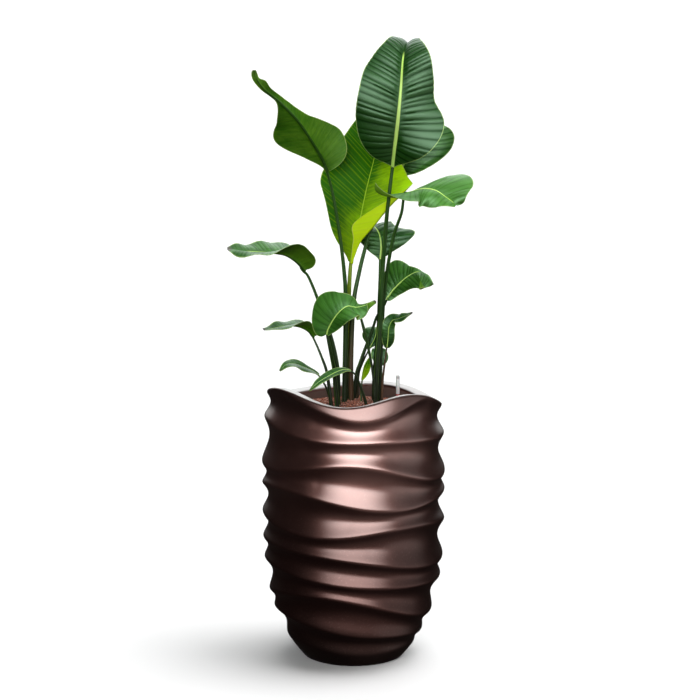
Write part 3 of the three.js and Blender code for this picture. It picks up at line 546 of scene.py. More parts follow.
# Shader helpers
class Value:
    """What a node gives at each point of a surface, so that plain sums can be written with it"""

    def __init__(self, nodes, socket):
        self.nodes = nodes
        self.socket = socket

    def __add__(self, other):
        return self.nodes.math("ADD", self, other)

    def __sub__(self, other):
        return self.nodes.math("SUBTRACT", self, other)

    def __rsub__(self, other):
        return self.nodes.math("SUBTRACT", other, self)

    def __mul__(self, other):
        return self.nodes.math("MULTIPLY", self, other)

    def __abs__(self):
        return self.nodes.math("ABSOLUTE", self)

    __radd__ = __add__
    __rmul__ = __mul__


class Nodes:
    """Short ways to add nodes to a shader tree"""

    def __init__(self, tree):
        self.tree = tree

    def put(self, target, value):
        if isinstance(value, Value):
            self.tree.links.new(value.socket, target)
        elif target.type == "RGBA":
            target.default_value = (*value, 1)
        else:
            target.default_value = value

    def add(self, kind, output, inputs=None, **settings):
        made = self.tree.nodes.new("ShaderNode" + kind)
        for key, value in settings.items():
            setattr(made, key, value)
        for key, value in (inputs or {}).items():
            self.put(made.inputs[key], value)
        return Value(self, made.outputs[output])

    def math(self, operation, a, b=0.0):
        return self.add("Math", 0, {0: a, 1: b}, operation=operation)

    def ramp(self, value, low, high, to_low=0.0, to_high=1.0):
        ends = {"Value": value, "From Min": low, "From Max": high, "To Min": to_low, "To Max": to_high}
        return self.add("MapRange", "Result", ends, interpolation_type="SMOOTHSTEP")

    def fall(self, value, low, high):
        """1 below the low end, nothing above the high one"""
        return self.ramp(value, low, high, 1.0, 0.0)

    def mix(self, factor, a, b):
        return self.add("Mix", 2, {0: factor, 6: a, 7: b}, data_type="RGBA")

    def noise(self, vector, scale, detail=2.0, rough=0.5):
        inputs = {"Vector": vector, "Scale": scale, "Detail": detail, "Roughness": rough}
        return self.add("TexNoise", "Fac", inputs)

    def grain(self, run, across, seed, scales, detail=2.0, rough=0.5):
        """Noise with its own scale along the run and across it"""
        place = self.add("CombineXYZ", 0, {0: run * scales[0], 1: across * scales[1], 2: seed})
        return self.noise(place, 1.0, detail, rough)

    def place(self):
        return self.add("TexCoord", "Object")

    def split(self, vector):
        made = self.tree.nodes.new("ShaderNodeSeparateXYZ")
        self.put(made.inputs[0], vector)
        return [Value(self, output) for output in made.outputs]

    def attribute(self, name):
        return self.split(self.add("Attribute", "Vector", attribute_name=name))

    def bump(self, height, strength, distance, **normal):
        inputs = {"Height": height, "Strength": strength, "Distance": distance, **normal}
        return self.add("Bump", 0, inputs)

    def surface(self, **inputs):
        """The surface's shader, and with it the material"""
        named = {key.replace("_", " "): value for key, value in inputs.items()}
        shader = self.add("BsdfPrincipled", 0, named)
        self.tree.links.new(shader.socket, self.tree.nodes.new("ShaderNodeOutputMaterial").inputs[0])


def new_material(name):
    material = bpy.data.materials.new(name)
    material.use_nodes = True
    material.node_tree.nodes.clear()
    return material, Nodes(material.node_tree)


# Leaf materials. Attribute "place" holds the run along the midrib, the signed
# distance from it and the distance from the edge, in decimetres. "blade" holds
# the run from 0 to 1, the vein valley mask and the midrib's half width, and on
# stalks the run from 0 to 1 and the cosine of the angle round it. "look" holds
# tone, brown tip and the midrib's end, and on stalks tone, nothing and red.
LEAF_SHEEN = (0.80, 1.0, 0.84)
DRY_TIP = (0.035, 0.016, 0.008)
RED_BASE = (0.075, 0.030, 0.012)
STREAK_SHARE = 0.7
BLOTCH_SHARE = 0.9
TONE_SHARE = 0.8
MIDDLE_TONE = 0.3
DARKENING = 0.75
PAINTED_GLOW_MIDDLE = 0.45
RIB_EDGE = (0.75, 1.15)
RIB_END_SPAN = 0.06
MARGIN_WIDTH = 0.045
TIP_SPAN = (0.965, 1.005)
EDGE_HIGHLIGHT_PLACE = 0.80


def leaf_material(name, dark, light, vein, rib, margin, rough, valleys, gloss, side=0.0):
    """side paints light shining through the blade from behind: the right half lighter than the left, and the
    blade lighter towards the stalk
    """
    material, n = new_material(name)
    run, off, edge = n.attribute("place")
    t, valley, rib_width = n.attribute("blade")
    tone, brown, rib_end = n.attribute("look")
    streak = n.grain(run, off, tone, scales=(46.0, 2.5), detail=3.0, rough=0.6)
    blotch = n.grain(run, off, tone, scales=(3.2, 2.6), detail=3.0)
    wander = n.grain(run, off, edge, scales=(7.0, 1.0))
    fine = n.grain(run, off, 0.0, scales=(130.0, 3.0), rough=0.7)
    lightness = STREAK_SHARE * streak + BLOTCH_SHARE * blotch - DARKENING + TONE_SHARE * (tone - MIDDLE_TONE)
    # Painted light: the right half and the part near the stalk are lighter, as light shining through from
    # behind
    if side:
        lightness = lightness + (side * off - side * (t - PAINTED_GLOW_MIDDLE))
    lightness = n.math("MAXIMUM", n.math("MINIMUM", lightness, 1.0), 0.0)
    colour = n.mix(lightness, dark, light)
    # Valleys: painted shade in the furrows on the dark upper face, vein lines on the other faces
    colour = n.mix(valleys * valley, colour, vein)
    # Midrib colour: pale on the upper faces and lime lower face, near black on the dark lower face as
    # painted shade under the rib
    on_rib = n.fall(abs(off), RIB_EDGE[0] * rib_width, RIB_EDGE[1] * rib_width)
    before_end = n.fall(t, rib_end - RIB_END_SPAN, rib_end)
    colour = n.mix(on_rib * before_end, colour, rib)
    edge_width = MARGIN_WIDTH * wander
    on_edge = n.fall(edge, 0.4 * edge_width, edge_width)
    colour = n.mix(0.85 * on_edge, colour, margin)
    at_tip = n.ramp(t + 0.05 * wander, *TIP_SPAN)
    colour = n.mix(at_tip * brown, colour, DRY_TIP)
    n.surface(Base_Color=colour, Roughness=0.16 * blotch + rough,
              Normal=n.bump(fine, strength=0.45, distance=0.0007),
              Specular_IOR_Level=gloss * (1.0 - 0.8 * valley), Specular_Tint=LEAF_SHEEN)
    return material


def stalk_material(name, low, high, pale):
    material, n = new_material(name)
    run = n.attribute("place")[0]
    round_it = n.attribute("blade")[1]
    tone, _, red = n.attribute("look")
    streak = n.grain(run, round_it, tone, scales=(1.6, 9.0), detail=3.0, rough=0.6)
    gaps = n.grain(run, tone, 0.0, scales=(0.9, 1.0))
    fine = n.grain(run, round_it, 0.0, scales=(3.0, 40.0))
    colour = n.mix(n.ramp(run, 0.6, 3.6), low, high)
    colour = n.mix(n.ramp(streak, 0.5, 0.8) * n.ramp(run, 0.7, 2.6, 0.1, 0.45), colour, pale)
    # Painted highlight, named crease here: four pale lines along the stalk at fixed angles round it, broken
    # up by noise
    crease = n.fall(abs(abs(round_it) - EDGE_HIGHLIGHT_PLACE), 0.03, 0.12)
    colour = n.mix(crease * n.ramp(gaps, 0.38, 0.6), colour, pale)
    colour = n.mix(n.ramp(run, 3.4, 0.4) * (n.ramp(streak, 0.2, 0.6) * red), colour, RED_BASE)
    n.surface(Base_Color=colour, Roughness=0.2 * streak + 0.34,
              Normal=n.bump(fine, strength=0.2, distance=0.0006), Specular_IOR_Level=0.25)
    return material


DARK_MATERIALS = [
    # On the dark upper face the near-black vein colour is painted shade in the furrows
    leaf_material("leaf_upper_dark", dark=(0.006, 0.050, 0.001), light=(0.080, 0.290, 0.022),
                  vein=(0.001, 0.010, 0.001), rib=(0.60, 0.86, 0.20), margin=(0.30, 0.45, 0.12),
                  rough=0.32, valleys=0.7, gloss=0.62),
    # The dark lower face's near-black midrib colour is painted shade under the rib
    leaf_material("leaf_lower_dark", dark=(0.022, 0.105, 0.001), light=(0.170, 0.350, 0.020),
                  vein=(0.085, 0.210, 0.010), rib=(0.016, 0.055, 0.003), margin=(0.32, 0.44, 0.10),
                  rough=0.42, valleys=0.3, gloss=0.15),
    stalk_material("stalk_dark", low=(0.005, 0.010, 0.002), high=(0.013, 0.058, 0.003),
                   pale=(0.130, 0.260, 0.050)),
]
LIME_MATERIALS = [
    # The upper lime face has side=0.85: painted light shining through the blade
    leaf_material("leaf_upper_lime", dark=(0.024, 0.130, 0.001), light=(0.430, 0.780, 0.002),
                  vein=(0.42, 0.68, 0.01), rib=(0.40, 0.62, 0.04), margin=(0.36, 0.52, 0.06),
                  rough=0.45, valleys=0.3, gloss=0.05, side=0.85),
    leaf_material("leaf_lower_lime", dark=(0.560, 0.840, 0.006), light=(0.740, 0.930, 0.012),
                  vein=(0.52, 0.68, 0.05), rib=(0.48, 0.66, 0.05), margin=(0.60, 0.72, 0.12),
                  rough=0.45, valleys=0.35, gloss=0.05),
    stalk_material("stalk_lime", low=(0.012, 0.020, 0.005), high=(0.300, 0.450, 0.020),
                   pale=(0.400, 0.560, 0.060)),
]


# Leaves
def blade_normal(leaf, q, tangent):
    """The way the upper face looks, square to the midrib"""
    face = along_points(leaf["face"], q)
    return unit(face - (face * tangent).sum(-1, keepdims=True) * tangent)


def half_surface(leaf, side, q, u):
    """Points and widths of one half, with rows at q along the midrib and columns at u across"""
    half = leaf[side]
    right = side == "right"
    t = eased(q)
    tangent = leaf["path"].tangent(t)
    normal = blade_normal(leaf, q, tangent)
    across = np.cross(tangent, normal) * (1 if right else -1)
    width = np.maximum(along(half.width, q), LEAST_HALF_WIDTH)
    lift = np.radians(along(half.lift, q))[:, None]
    bend = np.radians(along(half.bend, q))[:, None]
    roll = np.radians(along(half.roll, q))[:, None]
    sweep = np.radians(along(half.sweep or leaf["sweep"], q))[:, None]
    roll_start = along(half.fold or [ROLL_START, ROLL_START], q)[:, None]
    roll_span = FOLD_SPAN if half.fold else 1 - ROLL_START
    outward = np.cos(sweep) * across + np.sin(sweep) * tangent
    points = np.zeros((len(q), len(u), 3))
    for i in range(BEND_STEPS):
        at = (i + 0.5) / BEND_STEPS * u
        curl = np.clip((at - roll_start) / roll_span, 0, 1)
        angle = (lift + bend * at + roll * curl)[..., None]
        step = np.cos(angle) * outward[:, None] + np.sin(angle) * normal[:, None]
        points += step * (u / BEND_STEPS)[:, None]
    points *= width[:, None, None]
    size, count, phase = leaf["wave"]
    ripple = size * end_fade(t) * np.sin(2 * np.pi * (count * t + phase + (HALF_PHASE if right else 0)))
    points += normal[:, None] * ripple[:, None, None] * (u ** 2)[:, None]
    return leaf["path"].at(t)[:, None] + points, width


def vein_phase(run, spacing, seed):
    """Grows by pi from vein to vein, at uneven gaps"""
    s = run / spacing
    for size, length, turns in VEIN_SWAYS:
        s = s + size * np.sin(2 * np.pi * run / spacing / length + turns * seed)
    return np.pi * s


def blade_parts(leaf, seed):
    """Upper and lower face of a blade and the strip that closes its edge"""
    look = leaf["look"]
    path = leaf["path"]
    widest = max(*leaf["left"].width, *leaf["right"].width)
    rows = int(np.clip(path.length / BLADE_ROW_STEP, *BLADE_ROWS))
    half = int(np.clip(BLADE_COLUMN_BASE + widest / BLADE_COLUMN_STEP, *BLADE_COLUMNS))
    if leaf["right"].fold:
        half = FOLDED_COLUMNS
    q = np.linspace(0, 1, rows + 1)
    t = eased(q)
    u = (np.arange(1, half + 1) / half) ** COLUMN_CROWDING
    left, left_width = half_surface(leaf, "left", q, u)
    right, right_width = half_surface(leaf, "right", q, u)
    points = np.concatenate([left[:, ::-1], path.at(t)[:, None], right], 1)
    normal = unit(np.cross(np.gradient(points, axis=1), np.gradient(points, axis=0)))

    # Where each point is: across from -1 to 1, and distances along and from the midrib
    across = np.concatenate([-u[::-1], [0], u])
    columns = len(across)
    width = np.where(across < 0, left_width[:, None], right_width[:, None])
    off = across * width
    away = np.abs(off)
    run = np.repeat((t * path.length)[:, None], columns, 1)

    # Veins: the blade swells between them, and a mask marks their valleys for painted
    # shade on the dark upper face and vein lines on the other faces
    left_phase = vein_phase(run, look.spacing, seed)
    right_phase = vein_phase(run + VEIN_SHIFT * look.spacing, look.spacing, seed + 2)
    vein = np.sin(np.where(across < 0, left_phase, right_phase))
    swell = smooth(away, look.rib, look.rib + VEIN_SWELL_SPAN) * (1 - VEIN_EDGE_LOSS * np.abs(across))
    change, pace = VEIN_CHANGES
    uneven = 1 - change + change * np.sin(run / look.spacing * pace + seed)
    relief = look.depth * swell * end_fade(t)[:, None] * uneven * np.abs(vein) ** VEIN_ROUNDNESS
    narrow, strength = VALLEY_WIDTH, min(1.0, VALLEY_LEAST + look.depth / VALLEY_FULL_DEPTH)
    if leaf.get("lime"):
        narrow, strength = LIME_VALLEY_WIDTH, 1.0
    beside_rib = smooth(away, look.rib * VALLEY_START, look.rib + VALLEY_SPAN)
    valley = strength * np.exp(-(vein / narrow) ** 2) * beside_rib

    # Midrib: a channel above and a rib below
    rib_now = look.rib * (1 - RIB_NARROWING * t)[:, None] * np.ones_like(off)
    channel = CHANNEL_DEPTH * np.exp(-(off / (rib_now * CHANNEL_WIDTH)) ** 2)
    rib = leaf["radius"][1] * RIB_DEPTH * (1 - RIB_TAPER * q)[:, None]
    rib = rib * np.exp(-(off / (rib_now + RIB_SPREAD)) ** 2)
    surface = points + normal * relief[..., None]
    upper = surface + normal * (BLADE_THICKNESS / 2 - channel)[..., None]
    lower = surface - normal * (BLADE_THICKNESS / 2 + rib)[..., None]

    values = {
        "place": np.stack([run, off, (1 - np.abs(across)) * width], -1) / DECIMETRE,
        "blade": np.stack([np.repeat(t[:, None], columns, 1), valley, rib_now / DECIMETRE], -1),
        "look": np.broadcast_to([look.tone, look.brown, look.rib_end], points.shape),
    }
    number = np.arange((rows + 1) * columns).reshape(rows + 1, columns)
    loop = np.concatenate([number[0], number[1:, -1], number[-1, -2::-1], number[-2:0:-1, 0]])
    strip = np.concatenate([upper.reshape(-1, 3)[loop], lower.reshape(-1, 3)[loop]])
    strip_values = {key: np.concatenate([value.reshape(-1, 3)[loop]] * 2) for key, value in values.items()}
    return [
        (upper, [grid_faces(rows + 1, columns)], 0, values),
        (lower, [grid_faces(rows + 1, columns, flip=True)], 1, values),
        (strip, [strip_faces(len(loop))], 0, strip_values),
    ]


def tube_part(path, radius, steps, sides, material, look):
    """A closed tube along a path, with the radius given by run and angle"""
    angles = turn(sides)
    t = np.linspace(0, 1, steps + 1)
    middle = path.at(t)
    tangent = path.tangent(t)
    side_x = np.array([1.0, 0.2, 0.0])
    rings = []
    for k in range(steps + 1):
        side_x = unit(side_x - (side_x @ tangent[k]) * tangent[k])
        side_y = np.cross(tangent[k], side_x)
        r = radius(t[k], angles)
        x = (r * np.cos(angles))[:, None]
        y = (r * np.sin(angles))[:, None]
        rings.append(middle[k] + x * side_x + y * side_y)
    rings = np.array(rings)
    place = np.zeros_like(rings)
    place[..., 0] = (t * path.length / DECIMETRE)[:, None]
    blade = np.zeros_like(rings)
    blade[..., 0] = t[:, None]
    blade[..., 1] = np.cos(angles)

    # The last two points are the middles of both ends
    count = (steps + 1) * sides
    i = np.arange(sides)
    j = (i + 1) % sides
    low = np.stack([j, i, np.full(sides, count)], -1)
    high = np.stack([steps * sides + i, steps * sides + j, np.full(sides, count + 1)], -1)
    points = np.concatenate([rings.reshape(-1, 3), [rings[0].mean(0), rings[-1].mean(0)]])
    values = {key: np.concatenate([value.reshape(-1, 3), value[0, :1], value[-1, :1]])
              for key, value in (("place", place), ("blade", blade))}
    values["look"] = np.broadcast_to(look, points.shape)
    return points, [grid_faces(steps + 1, sides, wrap=True), low, high], material, values


def stalk_path(leaf):
    """From below the granules up into the underside of the blade"""
    foot = list(leaf["stalk"][0])
    foot[2] -= STALK_SUNK
    joins = []
    for q in STALK_JOINS:
        tangent = leaf["path"].tangent(eased(q))
        normal = blade_normal(leaf, q, tangent)
        joins.append(leaf["path"].at(eased(q)) - normal * leaf["radius"][1] * STALK_JOIN_DEPTH)
    return Path([foot, *leaf["stalk"], *joins])


def make_leaf(name, leaf, seed):
    leaf["path"] = Path(leaf["midrib"])
    foot, head = leaf["radius"]
    look = leaf["look"]
    path = stalk_path(leaf)

    def radius(t, angles):
        r = along([foot, foot, (foot + head) / 2, head, head * STALK_TIP], t)
        return r * (1 + STALK_OVAL * np.cos(2 * angles + seed))

    stalk = tube_part(path, radius, int(path.length / STALK_STEP), STALK_SIDES, 2, (look.tone, 0, look.red))
    slot, materials = ("leaf_lime", LIME_MATERIALS) if leaf.get("lime") else ("leaf_dark", DARK_MATERIALS)
    make_piece(name, [*blade_parts(leaf, seed), stalk], materials, LEAF_CREASE)


for number, (name, leaf) in enumerate(LEAVES.items()):
    make_leaf(name, leaf, SEED_STEP * number)


# Leaf that is still rolled up
def spear_radius(t, angles):
    wrap = (angles / (2 * np.pi) + SPEAR_TURNS * t) % 1
    return along(SPEAR_RADIUS, t) * (SPEAR_INNERMOST + SPEAR_WRAP * wrap)


spear_part = tube_part(Path(SPEAR_PATH), spear_radius, SPEAR_STEPS, SPEAR_SIDES, 0, (SPEAR_TONE, 0, 0))
make_piece("leaf_spear", [spear_part], [DARK_MATERIALS[2]])


# Planter
def barrel_radius(z):
    low = np.maximum(0, 1 - z / FOOT_HEIGHT)
    high = np.maximum(0, z - MOUTH_START) / MOUTH_SPAN
    return BARREL_RADIUS * (1 - FOOT_TAPER * low ** FOOT_ROUNDNESS) - MOUTH_DRAW_IN * high * high


def inner_radius(z):
    return barrel_radius(z) - GROOVE_DEEPEST - WALL


def fold_heights(angles):
    """Height of each fold line at each angle, from the foot to the rim"""
    rows = []
    for height, sway in FOLDS:
        z = np.full_like(angles, float(height))
        for i, (size, direction) in enumerate(sway):
            z += size * np.cos((i + 1) * angles - math.radians(direction))
        rows.append(z)
    for i in range(len(rows) - 2, -1, -1):
        rows[i] = np.minimum(rows[i], rows[i + 1] - LEAST_GAP)
    return np.array([np.zeros_like(angles), *rows])


def rim_tuck(folds):
    """How far the wall leans in from the last fold line up to the rim"""
    return np.minimum(RIM_TUCK_PER_GAP * (folds[-1] - folds[-2] - LEAST_GAP), RIM_TUCK_DEEPEST)


def wall_radius(heights, z):
    """Radius of the folded wall at heights z in one column, from its fold lines' heights"""
    gap = np.clip(np.searchsorted(heights, z, side="right") - 1, 0, len(heights) - 2)
    span = heights[gap + 1] - heights[gap]
    s = np.clip((z - heights[gap]) / span, 0, 1)
    strength = np.where(gap == 0, 0, np.clip((span - LEAST_GAP) / GROOVE_FADE, 0, 1))
    depth = strength * np.minimum(GROOVE_PER_GAP * span, GROOVE_DEEPEST)
    groove = depth * np.sin(np.pi * s ** GROOVE_SKEW)
    return barrel_radius(z) - np.where(gap == len(heights) - 2, rim_tuck(heights) * s * s, groove)


def outer_wall(angles, folds):
    """Rings of the folded outside, with softened crests"""
    reach = np.arange(-CREST_REACH, CREST_REACH + 1)
    kernel = np.exp(-0.5 * (reach / CREST_SOFTNESS) ** 2)
    kernel /= kernel.sum()
    wall = np.zeros((PLANTER_ROWS + 1, len(angles), 3))
    for c, angle in enumerate(angles):
        rim = folds[-1, c]
        z = np.arange(0, rim + 1, 1.0)
        raw = np.pad(wall_radius(folds[:, c], z), CREST_REACH, mode="edge")
        at = EDGE_ROUND + (rim - 2 * EDGE_ROUND) * np.linspace(0, 1, PLANTER_ROWS + 1)
        r = np.interp(at, z, np.convolve(raw, kernel, mode="valid"))
        wall[:, c] = np.stack([r * math.cos(angle), r * math.sin(angle), at], -1)
    return wall


def planter_part():
    """The whole skin: foot, outside, lip and inside. zone holds the lip and the inside."""
    angles = turn(PLANTER_COLUMNS)
    folds = fold_heights(angles)
    rim = folds[-1]
    edge = barrel_radius(rim)
    tuck = rim_tuck(folds)
    foot = [ring(angles, MIDDLE_RING, 0), ring(angles, FOOT_RING, 0)]
    foot += [ring(angles, barrel_radius(0) - inset, height) for inset, height in FOOT_EDGE]
    lip = [ring(angles, edge - tuck - inset, rim - drop) for inset, drop in LIP_OUTER_EDGE]
    for s in np.arange(1, LIP_STEPS + 1) / LIP_STEPS:
        inset = tuck + EDGE_ROUND + (LIP_WIDTH - tuck - EDGE_ROUND) * s
        lip.append(ring(angles, edge - inset, rim - LIP_FALL * s))
    lip += [ring(angles, edge - inset, rim - drop) for inset, drop in LIP_INNER_EDGE]
    inside = []
    for s in np.arange(1, INNER_STEPS + 1) / INNER_STEPS:
        radius = (edge - GROOVE_DEEPEST - WALL) * (1 - s) + inner_radius(FILL_EDGE_HEIGHT) * s
        inside.append(ring(angles, radius, (rim - LIP_DROP) * (1 - s) + FILL_EDGE_HEIGHT * s))
    inside += [ring(angles, inner_radius(z), z) for z in INNER_HEIGHTS]
    inside.append(ring(angles, MIDDLE_RING, FLOOR_TOP))
    rings = np.array([*foot, *outer_wall(angles, folds), *lip, *inside])
    zone = np.zeros_like(rings)
    inside_at = len(rings) - len(inside)
    # The lip zone is where the pale painted highlight goes
    zone[inside_at - len(lip) + LIP_MARGIN:inside_at - LIP_MARGIN, :, 0] = 1
    zone[inside_at:, :, 1] = 1
    return ring_part(rings, zone=zone)


# Painted shade on the planter's outside, in bands: darker downwards over the lower
# wall and darkest at the foot, standing in for light that falls off towards the
# floor, and darker under the rim to dim its highlight there. Each gives the heights
# in metres between which it comes in, its share and its colour. The coat's shine
# grows over heights of its own.
RIM_BAND = (0.57, 0.61)
COAT_GROWS = (0.18, 0.60)
PAINTED_SHADE_BANDS = [
    (0.60, 0.24, 0.93, (0.050, 0.0215, 0.0185)),
    (*RIM_BAND, 0.75, (0.095, 0.052, 0.047)),
    (0.14, 0.0, 1.0, (0.034, 0.020, 0.018)),
]
BRONZE_DARK = (0.180, 0.080, 0.068)
BRONZE_LIGHT = (0.222, 0.104, 0.091)
BRONZE_SPECK = (0.20, 0.12, 0.105)
LIP_HIGHLIGHT_COLOUR = (0.42, 0.39, 0.39)
INSIDE_COLOUR = (0.150, 0.100, 0.084)


def planter_material():
    material, n = new_material("planter_bronze")
    lip, inside, _ = n.attribute("zone")
    place = n.place()
    height = n.split(place)[2]
    cloud = n.noise(place, scale=9.0, detail=4.0, rough=0.55)
    grain = n.noise(place, scale=900.0)
    speck = n.noise(place, scale=260.0, detail=3.0, rough=0.65)
    colour = n.mix(n.ramp(cloud, 0.3, 0.7), BRONZE_DARK, BRONZE_LIGHT)
    # Painted shade: the wall's colour is darkened downwards, under the rim and at the foot
    for start, full, share, shade_colour in PAINTED_SHADE_BANDS:
        colour = n.mix(n.ramp(height, start, full, 0.0, share), colour, shade_colour)
    colour = n.mix(0.25 * n.ramp(speck, 0.55, 0.75), colour, BRONZE_SPECK)
    # Painted highlight: the lip is coloured pale grey-pink
    colour = n.mix(lip, colour, LIP_HIGHLIGHT_COLOUR)
    colour = n.mix(inside, colour, INSIDE_COLOUR)
    coat = n.ramp(height, *COAT_GROWS, 0.15, 1.0) * n.ramp(height, *RIM_BAND, 1.0, 0.4) * (1.0 - lip)
    normal = n.bump(grain, strength=0.12, distance=0.0004)
    normal = n.bump(speck, strength=0.08, distance=0.0012, Normal=normal)
    n.surface(Base_Color=colour, Roughness=0.08 * cloud + 0.31 + 0.3 * inside,
              Metallic=(1.0 - inside) * (0.92 - 0.8 * lip), Normal=normal,
              Coat_Weight=coat, Coat_Roughness=0.15, Coat_IOR=1.7)
    return material


make_piece("planter", [planter_part()], [planter_material()])


# Filling: a closed block with loose granules on top
def fill_height(x, y):
    away = np.hypot(x - MOUND_CENTRE[0], y - MOUND_CENTRE[1]) / MOUND_RADIUS
    return FILL_EDGE_HEIGHT + MOUND_HEIGHT * np.exp(-away * away)


def filling_block():
    angles = turn(FILL_COLUMNS)
    low = FLOOR_TOP + FILL_FLOOR_GAP
    rings = [ring(angles, MIDDLE_RING, low)]
    for z in (low, *FILL_SIDE_HEIGHTS):
        rings.append(ring(angles, inner_radius(z) - FILL_SIDE_GAP, z))
    for s in np.arange(FILL_RINGS) / FILL_RINGS:
        r = (inner_radius(FILL_EDGE_HEIGHT) - FILL_SIDE_GAP) * (1 - s)
        top = fill_height(r * np.cos(angles), r * np.sin(angles))
        rings.append(ring(angles, r, top - BLOCK_BELOW_GRANULES))
    return ring_part(rings)


def icosahedron():
    golden = (1 + 5 ** 0.5) / 2
    flat = np.array([[-1, golden, 0], [1, golden, 0], [-1, -golden, 0], [1, -golden, 0]])
    corners = unit(np.concatenate([np.roll(flat, shift, axis=1) for shift in range(3)]))
    faces = [[0, 11, 5], [0, 5, 1], [0, 1, 7], [0, 7, 10], [0, 10, 11], [1, 5, 9], [5, 11, 4],
             [11, 10, 2], [10, 7, 6], [7, 1, 8], [3, 9, 4], [3, 4, 2], [3, 2, 6], [3, 6, 8],
             [3, 8, 9], [4, 9, 5], [2, 4, 11], [6, 2, 10], [8, 6, 7], [9, 8, 1]]
    return corners, np.array(faces)


def loose_granules():
    """Lumps of uneven size on a jittered grid, each with its own shades"""
    rng = np.random.default_rng(GRANULE_SEED)
    limit = inner_radius(FILL_EDGE_HEIGHT) - FILL_SIDE_GAP - GRANULE_SIDE_GAP
    axis = np.arange(-limit, limit, GRANULE_PITCH)
    spots = np.array([(x, y) for x in axis for y in axis])
    spots = np.concatenate([spots, spots[::2] + GRANULE_PITCH / 2])
    spots = spots + rng.uniform(-0.5, 0.5, spots.shape) * GRANULE_PITCH
    spots = spots[np.hypot(spots[:, 0], spots[:, 1]) < limit]
    corners, faces = icosahedron()
    count, each = len(spots), len(corners)
    size = rng.uniform(*GRANULE_SIZE, (count, 1, 1))
    squash = rng.uniform(*GRANULE_SQUASH, (count, 1, 3))
    lumps = corners * rng.uniform(*GRANULE_LUMPS, (count, each, 1)) * size * squash
    level = fill_height(spots[:, 0], spots[:, 1]) + rng.uniform(*GRANULE_LEVEL, count)
    points = lumps + np.column_stack([spots, level])[:, None]
    shade = np.repeat(rng.uniform(*GRANULE_SHADES, (count, 3)), each, axis=0)
    numbers = faces + (np.arange(count) * each)[:, None, None]
    return points, [numbers.reshape(-1, 3)], 0, {"shade": shade}


CLAY_DARK_AND_GAP_SHADE = (0.060, 0.014, 0.007)
CLAY_LIGHT = (0.42, 0.140, 0.080)
CLAY_DUST = (0.74, 0.42, 0.32)
CLAY_PIT = (0.12, 0.035, 0.020)


def granule_material():
    material, n = new_material("granules")
    own, dusty, _ = n.attribute("shade")
    pits = n.noise(n.place(), scale=700.0, detail=3.0, rough=0.6)
    # The block under the granules has no shade attribute and takes the darkest clay: painted shade in the
    # gaps between granules. The granules mix it in as their own darker tone.
    colour = n.mix(own, CLAY_DARK_AND_GAP_SHADE, CLAY_LIGHT)
    colour = n.mix(0.7 * n.ramp(dusty, 0.8, 1.0), colour, CLAY_DUST)
    colour = n.mix(0.5 * n.fall(pits, 0.35, 0.55), colour, CLAY_PIT)
    n.surface(Base_Color=colour, Roughness=0.85, Normal=n.bump(pits, strength=0.5, distance=0.0005))
    return material


make_piece("granule_filling", [filling_block(), loose_granules()], [granule_material()])


# Water-level tube
def level_tube_part():
    foot = FILL_EDGE_HEIGHT - TUBE_SUNK
    plain = [foot, *TUBE_PLAIN_HEIGHTS, TUBE_MARK[0] - TUBE_MARK_BLUR]
    profile = [(TUBE_CAP_RING, foot, 0)]
    profile += [(TUBE_RADIUS, z, 0) for z in plain]
    profile += [(TUBE_RADIUS, z, 1) for z in TUBE_MARK]
    profile += [(TUBE_RADIUS, TUBE_MARK[1] + TUBE_MARK_BLUR, 0)]
    profile += [(TUBE_RADIUS - inset, TUBE_TOP - drop, 0) for inset, drop in TUBE_JOINT + TUBE_END]
    profile += [(TUBE_CAP_RING, TUBE_TOP, 0)]
    rings = np.array([ring(turn(TUBE_COLUMNS), r, z, TUBE_PLACE) for r, z, _ in profile])
    mark = np.zeros_like(rings)
    mark[..., 0] = [[red] for _, _, red in profile]
    return ring_part(rings, mark=mark)


TUBE_MILKY = (0.55, 0.55, 0.55)
TUBE_CLOUDY = (0.74, 0.74, 0.73)
TUBE_RED = (0.45, 0.05, 0.04)


def level_tube_material():
    material, n = new_material("water_level_tube")
    mark = n.attribute("mark")[0]
    haze = n.noise(n.place(), scale=120.0)
    colour = n.mix(mark, n.mix(haze, TUBE_MILKY, TUBE_CLOUDY), TUBE_RED)
    n.surface(Base_Color=colour, Roughness=0.1 * haze + 0.2, Subsurface_Weight=0.3, Subsurface_Scale=0.004)
    return material


make_piece("water_level_tube", [level_tube_part()], [level_tube_material()], TUBE_CREASE)

# Soft glows all round, as direction, the cosines to it where each starts and is
# full, and strength
GLOWS = {
    "front": ((0.10, -0.94, 0.33), 0.67, 1.0, 8.0),
    "low": ((0.60, -0.80, 0.0), -0.1, 0.9, 0.33),
    "side": ((0.95, -0.30, 0.0), 0.72, 1.0, 0.7),
    "back": ((0.0, 0.75, 0.66), 0.62, 0.97, 3.0),
}
REST_GLOW = 0.015
COOL_TINT = (0.94, 1.0, 0.99)
WARM_TINT = (1.08, 0.87, 0.80)

# Soft suns, as direction, strength and spread
SUNS = {
    "right": ((0.68, -0.05, 1.0), 1.7, 50),
    "above": ((0.10, 0.15, 1.0), 1.95, 46),
    "front": ((-0.25, -1.0, 0.12), 2.8, 50),
}

# Camera, with its place and farthest sight in metres, and its pitch up from
# looking straight down
CAMERA_PLACE = (-0.008, -5.2, 1.6)
CAMERA_PITCH = 80.36
LENS = 118.5
SENSOR = 36
FARTHEST_SEEN = 1000

# Half a side of the floor, and its colour
FLOOR_HALF = 300000
FLOOR_COLOUR = (0.93, 0.93, 0.93)


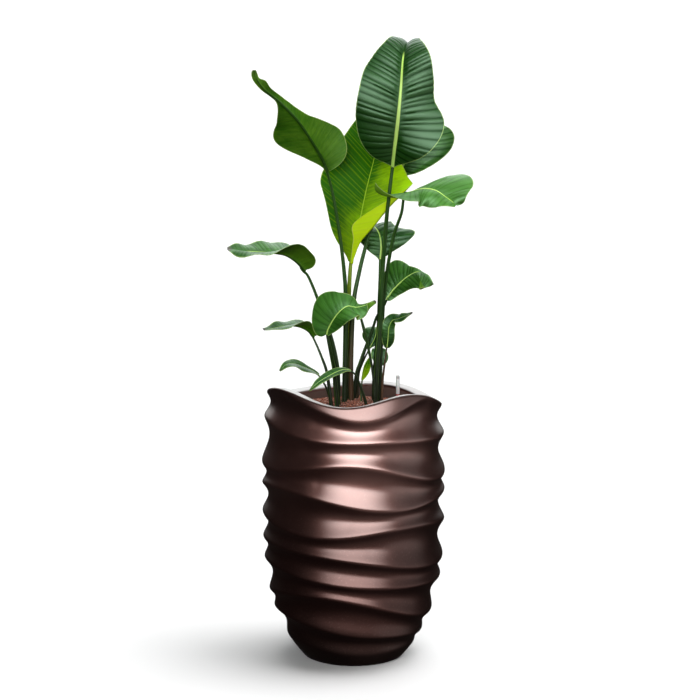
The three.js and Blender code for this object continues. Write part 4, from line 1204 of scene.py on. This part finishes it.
def pale_floor():
    """Wide enough to fill the view"""
    corners = [(x, y, 0) for y in (-FLOOR_HALF, FLOOR_HALF) for x in (-FLOOR_HALF, FLOOR_HALF)]
    material, n = new_material("pale_floor")
    n.surface(Base_Color=FLOOR_COLOUR, Roughness=0.9)
    piece = make_mesh("floor", [(corners, [grid_faces(2, 2)], 0, {})], [material])
    piece.visible_glossy = False
    piece.visible_diffuse = False


def soft_sun(name, direction, strength, spread):
    data = bpy.data.lights.new(name, "SUN")
    data.energy = strength
    data.angle = math.radians(spread)
    lamp = bpy.data.objects.new(name, data)
    bpy.context.scene.collection.objects.link(lamp)
    lamp.rotation_mode = "QUATERNION"
    lamp.rotation_quaternion = Vector(direction).to_track_quat("Z", "Y")
    lamp.visible_glossy = False


def studio_world():
    """Dark all round, with broad glows that only show as sheen"""
    world = bpy.data.worlds.new("studio")
    world.use_nodes = True
    n = Nodes(world.node_tree)
    where = n.add("TexCoord", "Generated")
    height = n.split(where)[2]
    glow = {}
    for name, (direction, start, full, strength) in GLOWS.items():
        toward = n.add("VectorMath", "Value", {0: where, 1: direction}, operation="DOT_PRODUCT")
        glow[name] = n.ramp(toward, start, full, 0.0, strength)
    front = glow["front"] * n.ramp(height, -0.05, 0.25)
    low = glow["low"] * n.ramp(height, 0.25, -0.15)
    tinted = []
    for tint, strength in ((COOL_TINT, front + glow["side"] + glow["back"]), (WARM_TINT, low + REST_GLOW)):
        tinted.append(n.add("VectorMath", "Vector", {0: tint, "Scale": strength}, operation="SCALE"))
    both = n.add("VectorMath", "Vector", {0: tinted[0], 1: tinted[1]}, operation="ADD")
    n.put(world.node_tree.nodes["Background"].inputs["Color"], both)
    world.cycles_visibility.diffuse = False
    world.cycles_visibility.transmission = False
    bpy.context.scene.world = world


def place_camera():
    data = bpy.data.cameras.new("camera")
    data.lens = LENS
    data.sensor_width = SENSOR
    data.clip_end = FARTHEST_SEEN
    camera = bpy.data.objects.new("camera", data)
    camera.location = CAMERA_PLACE
    camera.rotation_euler = (math.radians(CAMERA_PITCH), 0, 0)
    bpy.context.scene.collection.objects.link(camera)
    bpy.context.scene.camera = camera


pale_floor()
for name, (direction, strength, spread) in SUNS.items():
    soft_sun(name, direction, strength, spread)
studio_world()
place_camera()
bpy.context.scene.view_settings.view_transform = "Standard"
